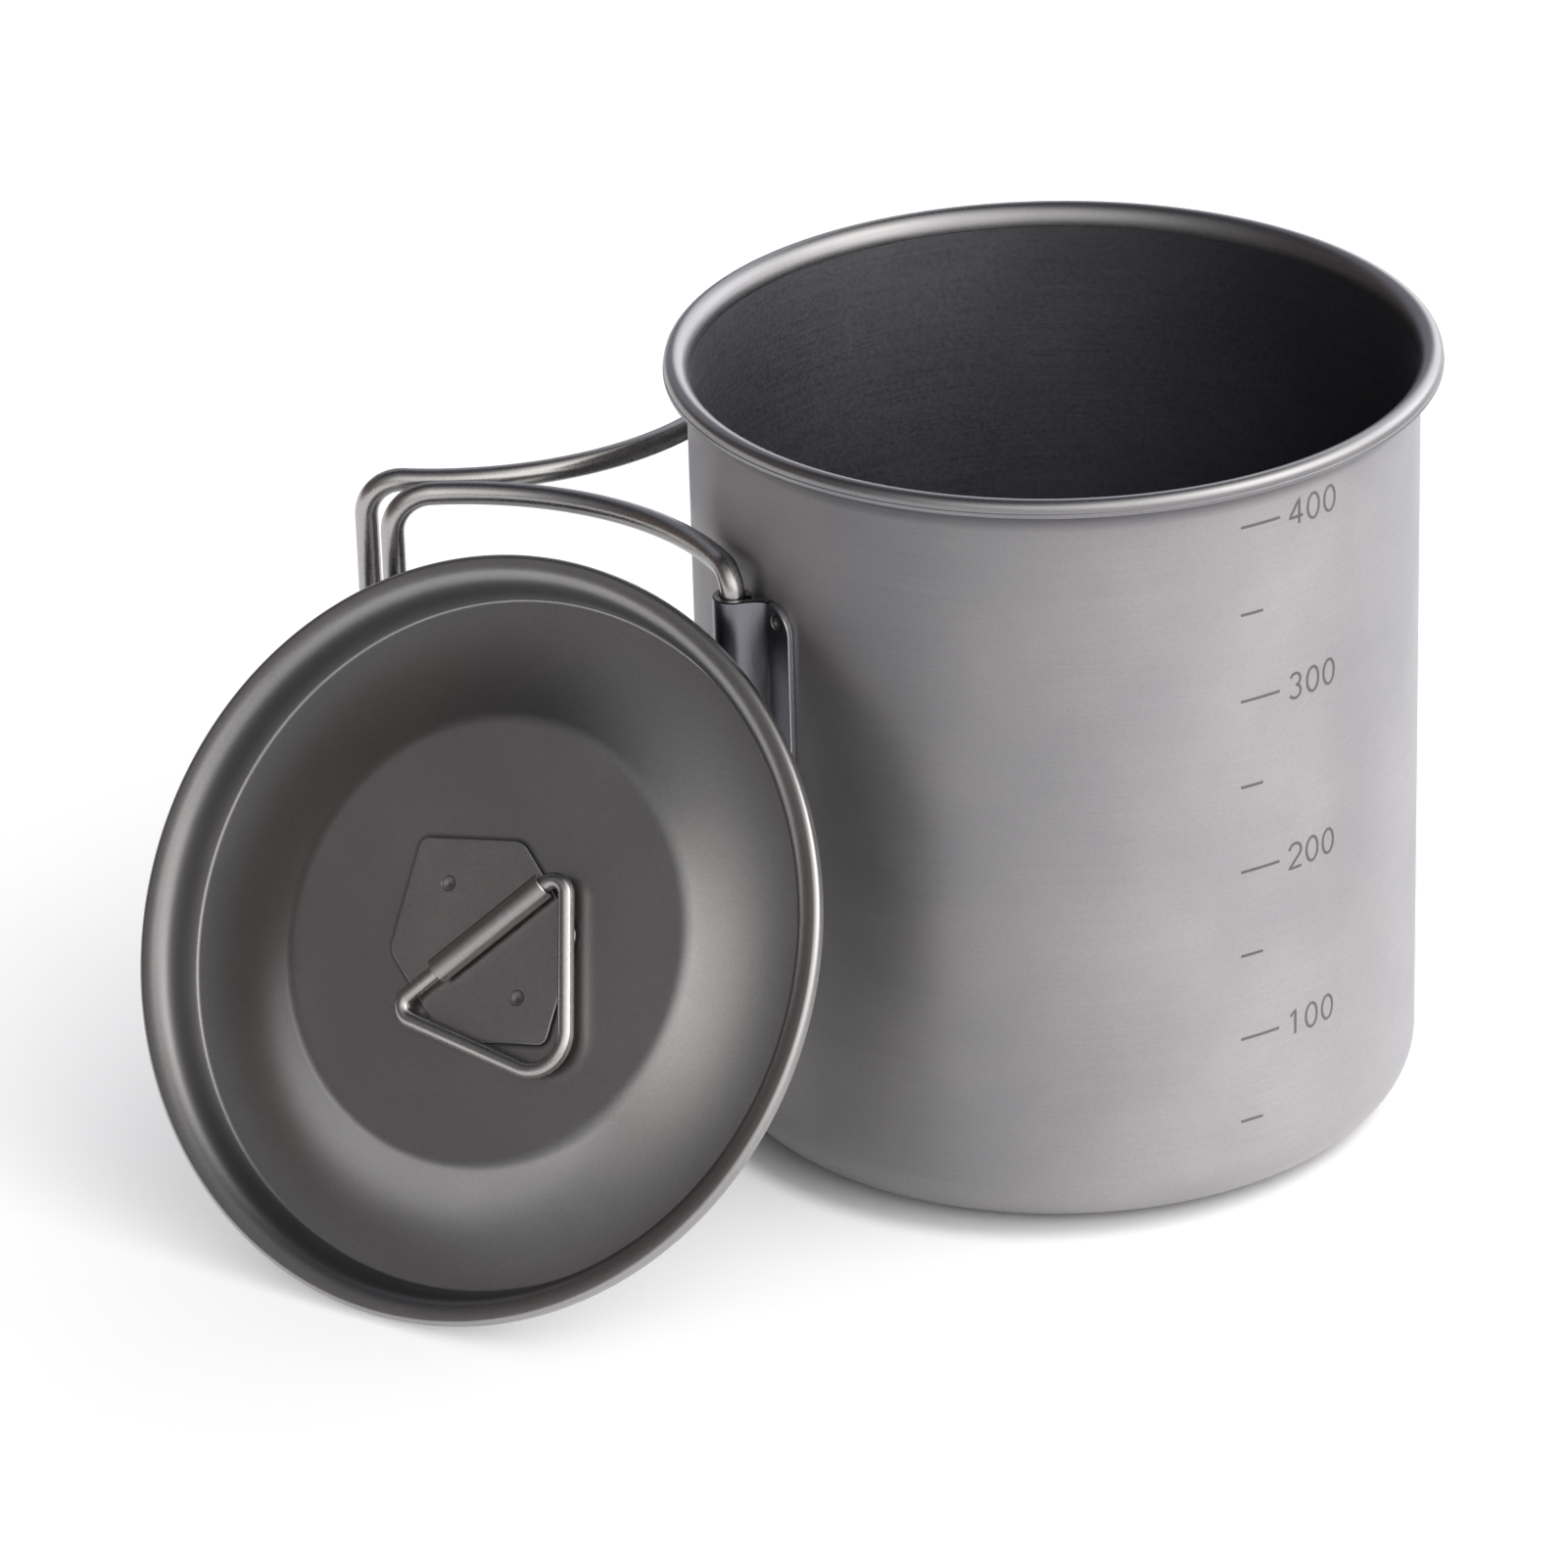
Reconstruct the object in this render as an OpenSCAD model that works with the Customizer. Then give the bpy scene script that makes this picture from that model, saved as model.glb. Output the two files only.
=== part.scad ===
// Titanium camping pot with two folding wire handles and a loose drop-in lid that leans against it.
// Millimetres. Origin at the centre of the pot's base, +Z up, handles reach out along -X.

/* [Pot] */
// Outside diameter of the straight wall
pot_d = 80; // [64:0.5:110]
// Height of the pot from the ground to the top of the lip
pot_h = 88.4; // [74:0.2:130]
// Thickness of the pot and lid sheet
wall = 0.4; // [0.3:0.05:0.8]
// Outside radius where the wall turns into the base
base_corner_r = 6; // [3:0.5:12]
// Outside radius of the half-round curled lip
lip_r = 1.45; // [1.2:0.05:2.2]
// Straight edge below the lip's curl
lip_hem = 0.3; // [0.1:0.1:1]

/* [Handles] */
// Diameter of the handle wire
wire_d = 2.6; // [2:0.1:3.4]
// Distance between the upper and lower wires of a handle
handle_h = 49.6; // [40:0.2:60]
// Height of the handle's middle above the ground
handle_mid_z = 48.1; // [40:0.1:52]
// Angle of each pivot barrel from the handles' middle plane
pivot_deg = 32.6; // [26:0.2:40]
// Plan radius of the curved arm
arm_arc_r = 32.7; // [26:0.1:42]
// Plan angle of the curved arm
arm_arc_deg = 68.7; // [50:0.1:76]
// Straight wire between the pin bend and the arm's curve
arm_lead = 1.2; // [0.6:0.1:4]
// Bend radius from the pin into the arm
pin_bend_r = 2.6; // [2.2:0.1:5]
// Bend radius from the arm into the grip
grip_bend_r = 4.4; // [3:0.1:8]
// Length of wire held inside the barrel at each end
pin_depth = 9; // [5:0.5:14]
// Swell of the wire where a bend starts
bend_swell = 0.02; // [0.01:0.01:0.05]
// Side step of the open front grip from the handles' middle plane
front_grip_y = 0.35; // [-2:0.05:2]
// Gap between the two grips when both handles are open
grip_gap = 2.3; // [0.5:0.1:6]

/* [Brackets] */
// Thickness of the handle bracket's sheet
sheet = 0.8; // [0.6:0.05:1.1]
// Play between a wire pin and its barrel, on the radius
pin_play = 0.08; // [0.04:0.01:0.1]
// Gap between a barrel's end and the wire's bend
barrel_end_gap = 0.1; // [0.05:0.05:1]
// Gap between the barrel and the pot's wall
barrel_gap = 0.3; // [0.2:0.05:0.8]
// Width of the welded wing, from the barrel's axis along the wall
wing_w = 7; // [5.5:0.1:10]
// Corner cut of the welded wing, along each edge
wing_cut = 1.1; // [0.5:0.1:1.4]
// Radius of a spot weld on the handle brackets
weld_r = 0.8; // [0.5:0.1:1]
// Distance of the spot welds from the wing's edge
weld_inset = 1.7; // [1.5:0.1:3]
// Distance of the outer spot welds from the wing's ends
weld_end = 1.9; // [1.7:0.1:6]
// Depth of a spot weld's dimple
weld_dip = 0.15; // [0.05:0.05:0.25]
// Gap around a spot weld
weld_gap = 0.05; // [0.02:0.01:0.1]

/* [Lid] */
// How far the lid's edge stands out past the pot's wall
lid_overhang = 1.9; // [1:0.1:2.2]
// Radial gap between the foot of the lid's step and the pot's wall
step_gap = 1.75; // [1:0.05:3]
// How much wider the step is at its shoulder than at its foot
step_taper = 0.64; // [0.3:0.02:1]
// Depth of the groove at the foot of the step
groove_depth = 5.8; // [5:0.1:9]
// Depth of the flat centre below the flange
disc_depth = 3.15; // [2.4:0.05:4]
// Radius of the flat centre
disc_r = 24.6; // [23:0.1:26]
// Slope of the cove where it meets the groove and the centre, past its mean slope
cove_bend_deg = 16; // [8:1:20]
// Radius of the shoulder between flange and step
shoulder_r = 1.5; // [1:0.1:2]
// Radius of the curled edge
hem_r = 1; // [0.8:0.1:1.3]
// Straight part of the edge below its curl
hem_drop = 0.4; // [0.2:0.1:1]

/* [Lid loop] */
// Turn of the loop's pivot line on the lid
loop_turn = 49.5; // [0:0.5:90]
// Diameter of the loop wire
loop_wire_d = 1.8; // [1.4:0.1:2.2]
// Length of the triangle's pivot side, corner to corner
loop_w = 26; // [24:0.2:30]
// Height of the triangle from its pivot side
loop_h = 20.1; // [16:0.1:20.6]
// Bend radius at the two pivot corners
loop_corner_r = 1.6; // [1.4:0.1:2]
// Bend radius at the far corner
loop_tip_r = 3; // [2:0.1:4]
// Thickness of the lid bracket's sheet
plate_t = 0.5; // [0.3:0.05:0.7]
// Half width of the lid bracket along the pivot line
plate_half_w = 9.8; // [9:0.1:10.6]
// Half length of the lid bracket's short sides
plate_half_flat = 6.2; // [4:0.1:7]
// Distance of the lid bracket's tips from the pivot line
plate_tip = 14.2; // [12:0.1:16]
// Distance of the knuckle's short end from the lid bracket's edge
knuckle_inset = 3.9; // [1:0.1:6]
// Opening between the knuckle's free edge and the plate
knuckle_slit = 0.6; // [0.3:0.05:0.8]
// Play between the loop wire and its knuckle, on the radius
loop_play = 0.08; // [0.04:0.01:0.1]
// Gap between the lying loop and the lid bracket
loop_lift = 0.3; // [0.2:0.05:0.6]
// Radius of a spot weld on the lid bracket
lid_weld_r = 0.8; // [0.5:0.1:1]
// Distance of the lid bracket's spot welds from the pivot line
lid_weld_y = 7.8; // [4:0.1:9]

/* [Lid at rest] */
// Lean of the lid from upright
lean_deg = 32.1; // [26:0.1:40]
// Turn of the lid about the upright, from facing -Y
turn_deg = -32.7; // [-40:0.1:-20]
// Gap between the lid's upper edge and the front barrel, along the lean
lean_gap = 1.5; // [1.2:0.1:6]
// Distance of the lid's centre from the front barrel, along the lid
lean_shift = 18.3; // [12:0.1:26]

/* [Hidden] */
$fn = 96;
titanium = [0.55, 0.54, 0.53];
bracket_tone = [0.6, 0.59, 0.58];
wire_tone = [0.5, 0.49, 0.48];
weld_tone = [0.42, 0.41, 0.42];

pot_r = pot_d / 2;
lip_mid_r = pot_r - wall + lip_r;
barrel_bore_r = wire_d / 2 + pin_play;
barrel_r = barrel_bore_r + sheet;
pivot_r = pot_r + barrel_gap + barrel_r;
pivot_x = -pivot_r * cos(pivot_deg);
pivot_y = pivot_r * sin(pivot_deg);
bracket_h = handle_h - 2 * pin_bend_r - 2 * barrel_end_gap;
wing_deg = wing_w / pot_r * 180 / PI;
weld_deg = (wing_w - weld_inset) / pot_r * 180 / PI;
weld_rise = bracket_h / 2 - weld_end;

arc_start = pin_bend_r + arm_lead;
arm_x = arc_start + arm_arc_r * sin(arm_arc_deg) + grip_bend_r * cos(arm_arc_deg);
arm_y = arm_arc_r * (1 - cos(arm_arc_deg)) + grip_bend_r * sin(arm_arc_deg);
arm_len = sqrt(arm_x * arm_x + arm_y * arm_y);
arm_skew = atan2(arm_y, arm_x);
rear_grip_y = front_grip_y + wire_d + grip_gap;
front_heading = 180 - asin((pivot_y + front_grip_y) / arm_len) - arm_skew;
rear_heading = 180 - asin((pivot_y - rear_grip_y) / arm_len) - arm_skew;

lid_r = pot_r + lid_overhang;
step_r = pot_r - wall - step_gap;
hem_mid_r = lid_r - hem_r;
shoulder_mid_r = step_r + shoulder_r + step_taper;
step_slope = 90 - atan2(groove_depth - shoulder_r, step_taper);
cove_chord = sqrt(pow(step_r - disc_r, 2) + pow(groove_depth - disc_depth, 2));
cove_fall = atan2(groove_depth - disc_depth, step_r - disc_r);
cove_r = cove_chord / 2 / sin(cove_bend_deg);
cove_x = (step_r + disc_r) / 2 + cove_r * cos(cove_bend_deg) * sin(cove_fall);
cove_z = -(groove_depth + disc_depth) / 2 + cove_r * cos(cove_bend_deg) * cos(cove_fall);
lid_z = lid_r * cos(lean_deg) + (hem_r + hem_drop) * sin(lean_deg);
lean_reach = lid_r * sin(lean_deg) + barrel_r + lean_gap;
lid_x = pivot_x + lean_reach * sin(turn_deg) - lean_shift * cos(turn_deg);
lid_y = -pivot_y - lean_reach * cos(turn_deg) - lean_shift * sin(turn_deg);

loop_r = loop_wire_d / 2;
knuckle_bore_r = loop_r + loop_play;
knuckle_r = knuckle_bore_r + plate_t;
pivot_lift = plate_t + loop_r + loop_lift;
knuckle_low = knuckle_inset - plate_half_w;
knuckle_high = plate_half_w;
loop_base_deg = atan2(loop_h, loop_w / 2);
loop_corner_cut = loop_corner_r / tan(loop_base_deg / 2);
loop_tip_cut = loop_tip_r / tan(90 - loop_base_deg);
loop_side = sqrt(loop_h * loop_h + loop_w * loop_w / 4);

// A ring of sheet seen in section, kept only inside the wedge between two angles
module ring_wedge(r_out, r_in, from_deg, to_deg) {
  mid_deg = (from_deg + to_deg) / 2;
  reach = 3 * r_out;
  intersection() {
    difference() {
      circle(r = r_out);
      circle(r = r_in);
    }
    polygon([
      [0, 0],
      [reach * cos(from_deg), reach * sin(from_deg)],
      [reach * cos(mid_deg), reach * sin(mid_deg)],
      [reach * cos(to_deg), reach * sin(to_deg)]
    ]);
  }
}

// Seamless cup: flat base, rounded corner, straight wall and an outward curled lip
module pot_body() {
  color(titanium)
  rotate_extrude() {
    square([pot_r - base_corner_r, wall]);
    translate([pot_r - base_corner_r, base_corner_r])
      ring_wedge(base_corner_r, base_corner_r - wall, -90, 0);
    translate([pot_r - wall, base_corner_r])
      square([wall, pot_h - lip_r - base_corner_r]);
    translate([lip_mid_r, pot_h - lip_r])
      ring_wedge(lip_r, lip_r - wall, 0, 180);
    translate([lip_mid_r + lip_r - wall, pot_h - lip_r - lip_hem])
      square([wall, lip_hem]);
  }
}

// Handle bracket on the -Y side: a rolled barrel and a wing that follows the wall
module bracket_shape() {
  half = bracket_h / 2;
  translate([0, 0, handle_mid_z])
  rotate([0, 0, 180 + pivot_deg])
  difference() {
    union() {
      translate([pivot_r, 0, -half])
        cylinder(r = barrel_r, h = bracket_h);
      translate([0, 0, -half])
        rotate_extrude(angle = wing_deg)
          translate([pot_r, 0])
            square([sheet, bracket_h]);
    }
    translate([pivot_r, 0, -half - 1])
      cylinder(r = barrel_bore_r, h = bracket_h + 2);
    for (side = [-1, 1])
      rotate([0, 0, wing_deg])
        translate([pot_r - 2, 0, side * half])
          rotate([side * 45, 0, 0])
            translate([0, -wing_cut / sqrt(2), -2 * wing_cut])
              cube([8, 4 * wing_cut, 4 * wing_cut]);
    for (step = [-1, 0, 1])
      rotate([0, 0, weld_deg])
        translate([pot_r - 2, 0, step * weld_rise])
          rotate([0, 90, 0])
            cylinder(r = weld_r + weld_gap, h = 8);
  }
}

module front_bracket() {
  color(bracket_tone) bracket_shape();
}

module rear_bracket() {
  color(bracket_tone) mirror([0, 1, 0]) bracket_shape();
}

// Three spot welds that hold a wing to the wall, each a little below the wing's face
module weld_shape() {
  for (step = [-1, 0, 1])
    intersection() {
      rotate([0, 0, 180 + pivot_deg + weld_deg])
        translate([pot_r - 2, 0, handle_mid_z + step * weld_rise])
          rotate([0, 90, 0])
            cylinder(r = weld_r, h = 8);
      translate([0, 0, handle_mid_z - bracket_h / 2])
        rotate_extrude()
          translate([pot_r, 0])
            square([sheet - weld_dip, bracket_h]);
    }
}

module front_welds() {
  color(weld_tone) weld_shape();
}

module rear_welds() {
  color(weld_tone) mirror([0, 1, 0]) weld_shape();
}

// Swelling that joins two runs of upright wire
module wire_joint(d) {
  sphere(r = d / 2 + bend_swell);
}

// The same swelling for wire that runs along X, with its poles on the wire's line
module lying_wire_joint(d) {
  rotate([0, 90, 0]) wire_joint(d);
}

// Upper arm of a handle, from its pin to the top of its grip, leaving the barrel along +X
module handle_arm() {
  top = handle_h / 2;
  translate([0, 0, top - pin_bend_r - pin_depth])
    cylinder(d = wire_d, h = pin_depth);
  translate([0, 0, top - pin_bend_r + bend_swell])
    wire_joint(wire_d - 2 * bend_swell);
  translate([pin_bend_r, 0, top - pin_bend_r])
    rotate([90, 0, 0])
      rotate([0, 0, 90])
        rotate_extrude(angle = 90)
          translate([pin_bend_r, 0])
            circle(d = wire_d);
  translate([pin_bend_r, 0, top])
    lying_wire_joint(wire_d);
  translate([pin_bend_r, 0, top])
    rotate([0, 90, 0])
      cylinder(d = wire_d, h = arm_lead);
  translate([arc_start, 0, top])
    lying_wire_joint(wire_d);
  translate([arc_start, arm_arc_r, top])
    rotate([0, 0, -90])
      rotate_extrude(angle = arm_arc_deg)
        translate([arm_arc_r, 0])
          circle(d = wire_d);
  translate([arc_start, arm_arc_r, top])
    rotate([0, 0, arm_arc_deg])
      translate([0, -arm_arc_r, -grip_bend_r]) {
        translate([0, 0, grip_bend_r])
          lying_wire_joint(wire_d);
        rotate([90, 0, 0])
          rotate_extrude(angle = 90)
            translate([grip_bend_r, 0])
              circle(d = wire_d);
        translate([grip_bend_r, 0, 0])
          wire_joint(wire_d);
      }
}

// Whole handle: two arms and the upright grip between them
module handle_shape() {
  grip_h = handle_h - 2 * grip_bend_r;
  handle_arm();
  mirror([0, 0, 1]) handle_arm();
  translate([arc_start, arm_arc_r, 0])
    rotate([0, 0, arm_arc_deg])
      translate([grip_bend_r, -arm_arc_r, -grip_h / 2])
        cylinder(d = wire_d, h = grip_h);
}

module front_handle() {
  color(wire_tone)
  translate([pivot_x, -pivot_y, handle_mid_z])
    rotate([0, 0, front_heading])
      handle_shape();
}

module rear_handle() {
  color(wire_tone)
  mirror([0, 1, 0])
  translate([pivot_x, -pivot_y, handle_mid_z])
    rotate([0, 0, rear_heading])
      handle_shape();
}

// Puts a lid piece, drawn lying flat with its flange at z = 0, where the lid leans at rest
module lid_place() {
  translate([lid_x, lid_y, lid_z])
    rotate([90 - lean_deg, 0, turn_deg])
      children();
}

// Turns a loop piece to the pivot line, with z = 0 on the lid's flat centre
module loop_place() {
  lid_place()
    translate([0, 0, -disc_depth])
      rotate([0, 0, loop_turn])
        children();
}

// Pressed lid: curled edge, flange, step that drops into the mouth, cove and raised flat centre
module lid_body() {
  foot = [step_r, -groove_depth];
  under = [wall * cos(step_slope), -wall * sin(step_slope)];
  head = [
    shoulder_mid_r - shoulder_r * cos(step_slope),
    -shoulder_r + shoulder_r * sin(step_slope)
  ];
  color(titanium)
  lid_place()
  rotate_extrude() {
    translate([lid_r - wall, -hem_r - hem_drop])
      square([wall, hem_drop]);
    translate([hem_mid_r, -hem_r])
      ring_wedge(hem_r, hem_r - wall, 0, 90);
    translate([shoulder_mid_r, -wall])
      square([hem_mid_r - shoulder_mid_r, wall]);
    translate([shoulder_mid_r, -shoulder_r])
      ring_wedge(shoulder_r, shoulder_r - wall, 90, 180 - step_slope);
    translate(head + under / 2)
      circle(r = wall / 2 + bend_swell);
    polygon([head, foot, foot + under, head + under]);
    translate(foot + under / 2)
      circle(r = wall / 2 + bend_swell);
    translate([foot[0], foot[1] - wall / 2])
      circle(r = wall / 2 + bend_swell);
    translate([cove_x, cove_z])
      ring_wedge(
        cove_r + wall,
        cove_r,
        270 - cove_fall - cove_bend_deg,
        270 - cove_fall + cove_bend_deg
      );
    translate([0, -disc_depth - wall])
      square([disc_r, wall]);
  }
}

// Six-sided plate with a rolled knuckle for the loop
module lid_bracket() {
  knuckle_len = knuckle_high - knuckle_low;
  color(bracket_tone)
  loop_place()
  difference() {
    union() {
      linear_extrude(plate_t)
        polygon([
          [plate_half_w, -plate_half_flat],
          [plate_half_w, plate_half_flat],
          [0, plate_tip],
          [-plate_half_w, plate_half_flat],
          [-plate_half_w, -plate_half_flat],
          [0, -plate_tip]
        ]);
      difference() {
        union() {
          translate([knuckle_low, 0, pivot_lift])
            rotate([0, 90, 0])
              cylinder(r = knuckle_r, h = knuckle_len);
          translate([knuckle_low, knuckle_bore_r, plate_t / 2])
            cube([knuckle_len, plate_t, pivot_lift - plate_t / 2]);
        }
        translate([knuckle_low - 1, -knuckle_r - 1, -1])
          cube([knuckle_len + 2, knuckle_r + 1 + knuckle_bore_r, 1 + plate_t + knuckle_slit]);
      }
    }
    translate([knuckle_low - 1, 0, pivot_lift])
      rotate([0, 90, 0])
        cylinder(r = knuckle_bore_r, h = knuckle_len + 2);
    for (side = [-1, 1])
      translate([0, side * lid_weld_y, -1])
        cylinder(r = lid_weld_r + weld_gap, h = 3);
  }
}

// Two spot welds that hold the plate to the lid
module lid_welds() {
  color(weld_tone)
  loop_place()
  for (side = [-1, 1])
    translate([0, side * lid_weld_y, 0])
      cylinder(r = lid_weld_r, h = plate_t - weld_dip);
}

// One slanted side of the loop with its pivot corner, for the +X side
module loop_side_wire() {
  straight = loop_side - loop_corner_cut - loop_tip_cut;
  translate([loop_w / 2 - loop_corner_cut, 0, 0])
    lying_wire_joint(loop_wire_d);
  translate([loop_w / 2 - loop_corner_cut, -loop_corner_r, 0])
    rotate([0, 0, loop_base_deg - 90])
      rotate_extrude(angle = 180 - loop_base_deg)
        translate([loop_corner_r, 0])
          circle(d = loop_wire_d);
  translate([loop_w / 2, 0, 0])
    rotate([0, 0, loop_base_deg - 180])
      translate([loop_corner_cut, 0, 0]) {
        lying_wire_joint(loop_wire_d);
        rotate([0, 90, 0])
          cylinder(d = loop_wire_d, h = straight);
        translate([straight, 0, 0])
          lying_wire_joint(loop_wire_d);
      }
}

// Triangular wire loop that lies on the lid and swings up to be held
module lid_loop() {
  pivot_len = loop_w - 2 * loop_corner_cut;
  color(wire_tone)
  loop_place()
  translate([0, 0, pivot_lift]) {
    translate([-pivot_len / 2, 0, 0])
      rotate([0, 90, 0])
        cylinder(d = loop_wire_d, h = pivot_len);
    loop_side_wire();
    mirror([1, 0, 0]) loop_side_wire();
    translate([0, -loop_h + loop_tip_r / cos(loop_base_deg), 0])
      rotate([0, 0, -90 - loop_base_deg])
        rotate_extrude(angle = 2 * loop_base_deg)
          translate([loop_tip_r, 0])
            circle(d = loop_wire_d);
  }
}

pot_body();
front_bracket();
rear_bracket();
front_welds();
rear_welds();
front_handle();
rear_handle();
lid_body();
lid_bracket();
lid_welds();
lid_loop();
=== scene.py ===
"""Titanium camping pot with folding wire handles and a loose drop-in lid, dressed for its portrait.

Sizes are in millimetres in the pot's own frame: origin at the centre of the base, +Z up, handles along -X.
"""

from __future__ import annotations

import logging
import math
from dataclasses import dataclass, field
from enum import Enum
from typing import Any, Callable, ClassVar, Sequence

import bmesh
import bpy
from mathutils import Matrix, Vector

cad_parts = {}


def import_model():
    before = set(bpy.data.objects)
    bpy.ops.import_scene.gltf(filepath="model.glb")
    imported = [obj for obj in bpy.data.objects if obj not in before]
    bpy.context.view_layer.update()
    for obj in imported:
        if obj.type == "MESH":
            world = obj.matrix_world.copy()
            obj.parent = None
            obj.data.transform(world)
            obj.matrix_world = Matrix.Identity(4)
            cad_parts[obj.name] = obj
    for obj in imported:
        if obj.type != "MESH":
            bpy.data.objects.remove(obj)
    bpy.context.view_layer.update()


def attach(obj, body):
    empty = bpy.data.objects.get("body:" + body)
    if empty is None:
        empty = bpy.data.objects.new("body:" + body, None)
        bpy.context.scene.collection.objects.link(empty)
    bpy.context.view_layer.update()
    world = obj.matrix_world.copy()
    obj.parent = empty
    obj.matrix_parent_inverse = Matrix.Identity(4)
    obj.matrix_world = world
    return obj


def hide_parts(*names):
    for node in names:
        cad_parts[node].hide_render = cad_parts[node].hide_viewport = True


LOG = logging.getLogger("camping_pot")
MM = 0.001
SURFACE_MAP = "surface"
WEAR_AND_SHADE = "wear"
TINY = 1e-6  # a length below this counts as nothing
SAME_POINT = 1e-4  # two points of a path closer than this are one
SMOOTH_BELOW = math.radians(24)  # a bend sharper than this stays crisp
CUT_EDGE = 0.6  # a sheet's thickness at its broken cut edge, as a share
WIRE_BREAK = 0.2  # how far the edge of a wire's cut end is broken, as a share of its radius
WELD_CHORDS = 12  # chords of a weld's hollow, from its middle to its rim
MM3_PER_ML = 1000.0

Point2 = tuple[float, float]
Point3 = tuple[float, float, float]
Rows = Sequence[Sequence[int]]
Charts = Sequence[Sequence[Point2]]
Tree = bpy.types.NodeTree
Socket = bpy.types.NodeSocket


class Side(Enum):
    """Which of the two twin handles a piece belongs to; the value starts its name."""

    FRONT = "front"
    REAR = "rear"


class Along(Enum):
    """The way that fine tool marks run over a surface map."""

    ROUND = "u"
    LENGTH = "v"
    NONE = "none"


# Paths --------------------------------------------------------------------------------------------------


def between(a: Sequence[float], b: Sequence[float], share: float) -> Point2:
    """The flat point that lies a share of the way from a to b."""
    return a[0] + (b[0] - a[0]) * share, a[1] + (b[1] - a[1]) * share


def arc(centre: Point2, radius: float, start: float, stop: float, steps: int) -> list[Point2]:
    """Points of a flat arc from one angle to another, in degrees and so many chords, both ends included."""
    turns = [math.radians(start + (stop - start) * k / steps) for k in range(steps + 1)]
    return [(centre[0] + radius * math.cos(t), centre[1] + radius * math.sin(t)) for t in turns]


def circle(radius: float, steps: int) -> list[Point2]:
    """Points of a circle about the origin, each once."""
    return arc((0.0, 0.0), radius, 0, 360, steps)[:-1]


def line(start: Point2, stop: Point2, step: float) -> list[Point2]:
    """Points of a straight run, no further apart than step, both ends included."""
    count = max(1, math.ceil(math.dist(start, stop) / step))
    return [between(start, stop, k / count) for k in range(count + 1)]


def bezier(pulls: Sequence[Sequence[float]], steps: int) -> list[Point2]:
    """Points of a flat Bezier curve.

    Args:
        pulls: the curve's two ends, with the points that pull on it between them.
        steps: number of chords.

    Returns:
        The points from end to end, both included.
    """
    curve = []
    for k in range(steps + 1):
        row = [(p[0], p[1]) for p in pulls]
        while len(row) > 1:
            row = [between(a, b, k / steps) for a, b in zip(row, row[1:])]
        curve.append(row[0])
    return curve


def chain(*runs: Sequence[Point2]) -> list[Point2]:
    """Joins runs of points end to end.

    Args:
        runs: the runs, in order.

    Returns:
        One run, without points that fall on the one before.
    """
    joined: list[Point2] = []
    for point in (p for run in runs for p in run):
        if not joined or math.dist(joined[-1], point) > SAME_POINT:
            joined.append(point)
    return joined


def ease_corner(path: list[Point2], corner: Point2, reach: float, steps: int = 10) -> list[Point2]:
    """Rounds one sharp corner of a path, as a press tool's radius does.

    Args:
        path: the points of the path.
        corner: the corner's place.
        reach: how far from the corner the rounding starts and ends.
        steps: number of chords in the rounding.

    Returns:
        The path with the corner rounded.
    """
    near = min(range(len(path)), key=lambda k: math.dist(path[k], corner))

    def walk(step: int) -> tuple[int, Point2]:
        """Follows the path from the corner to the point at the reach.

        Args:
            step: 1 to go on along the path, -1 to go back.

        Returns:
            The number of the next point of the path that is kept, and the point at the reach.
        """
        k, left = near, reach
        while 0 <= k + step < len(path):
            gap = math.dist(path[k], path[k + step])
            if gap >= left:
                return k + step, between(path[k], path[k + step], left / gap)
            left -= gap
            k += step
        return k, path[k]

    before, first = walk(-1)
    after, last = walk(1)
    return chain(path[: before + 1], bezier((first, path[near], last), steps), path[after:])


def sides_of(path: Sequence[Point2], half: Sequence[float]) -> tuple[list[Point2], list[Point2]]:
    """The two faces of a sheet that is drawn by its middle line.

    Args:
        path: points of the middle line.
        half: half the sheet's thickness at each point.

    Returns:
        The face on the left of the path and the face on its right.
    """
    left, right = [], []
    for k, point in enumerate(path):
        a, b = path[max(0, k - 1)], path[min(len(path) - 1, k + 1)]
        run = math.dist(a, b)
        normal = (-(b[1] - a[1]) / run, (b[0] - a[0]) / run)
        left.append((point[0] + normal[0] * half[k], point[1] + normal[1] * half[k]))
        right.append((point[0] - normal[0] * half[k], point[1] - normal[1] * half[k]))
    return left, right


def sheet_section(middle: Sequence[Point2], wall: float) -> list[Point2]:
    """The section of a spun sheet.

    Args:
        middle: the sheet's middle line, from the axis to its cut edge.
        wall: the sheet's thickness.

    Returns:
        The closed section, from the axis over the edge and back to the axis.
    """
    half = wall / 2
    left, right = sides_of(middle, [half] * (len(middle) - 1) + [half * CUT_EDGE])
    return [*left, *reversed(right)]


# Strokes of plain figures, each in a box 0.64 wide and 1 high.
FIGURES: dict[str, list[list[Point2]]] = {
    "0": [[(0.31 + 0.29 * x, 0.5 + 0.5 * y) for x, y in arc((0.0, 0.0), 1.0, 90, -270, steps=16)]],
    "1": [[(0.1, 0.78), (0.34, 1.0), (0.34, 0.0)]],
    "2": [[*arc((0.31, 0.71), 0.29, 170, -38, steps=12), (0.02, 0.0), (0.62, 0.0)]],
    "3": [arc((0.29, 0.75), 0.25, 155, -80, steps=10), arc((0.29, 0.26), 0.27, 82, -155, steps=10)],
    "4": [[(0.46, 0.0), (0.46, 1.0), (0.0, 0.3), (0.64, 0.3)]],
}


# Meshes -------------------------------------------------------------------------------------------------


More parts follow.
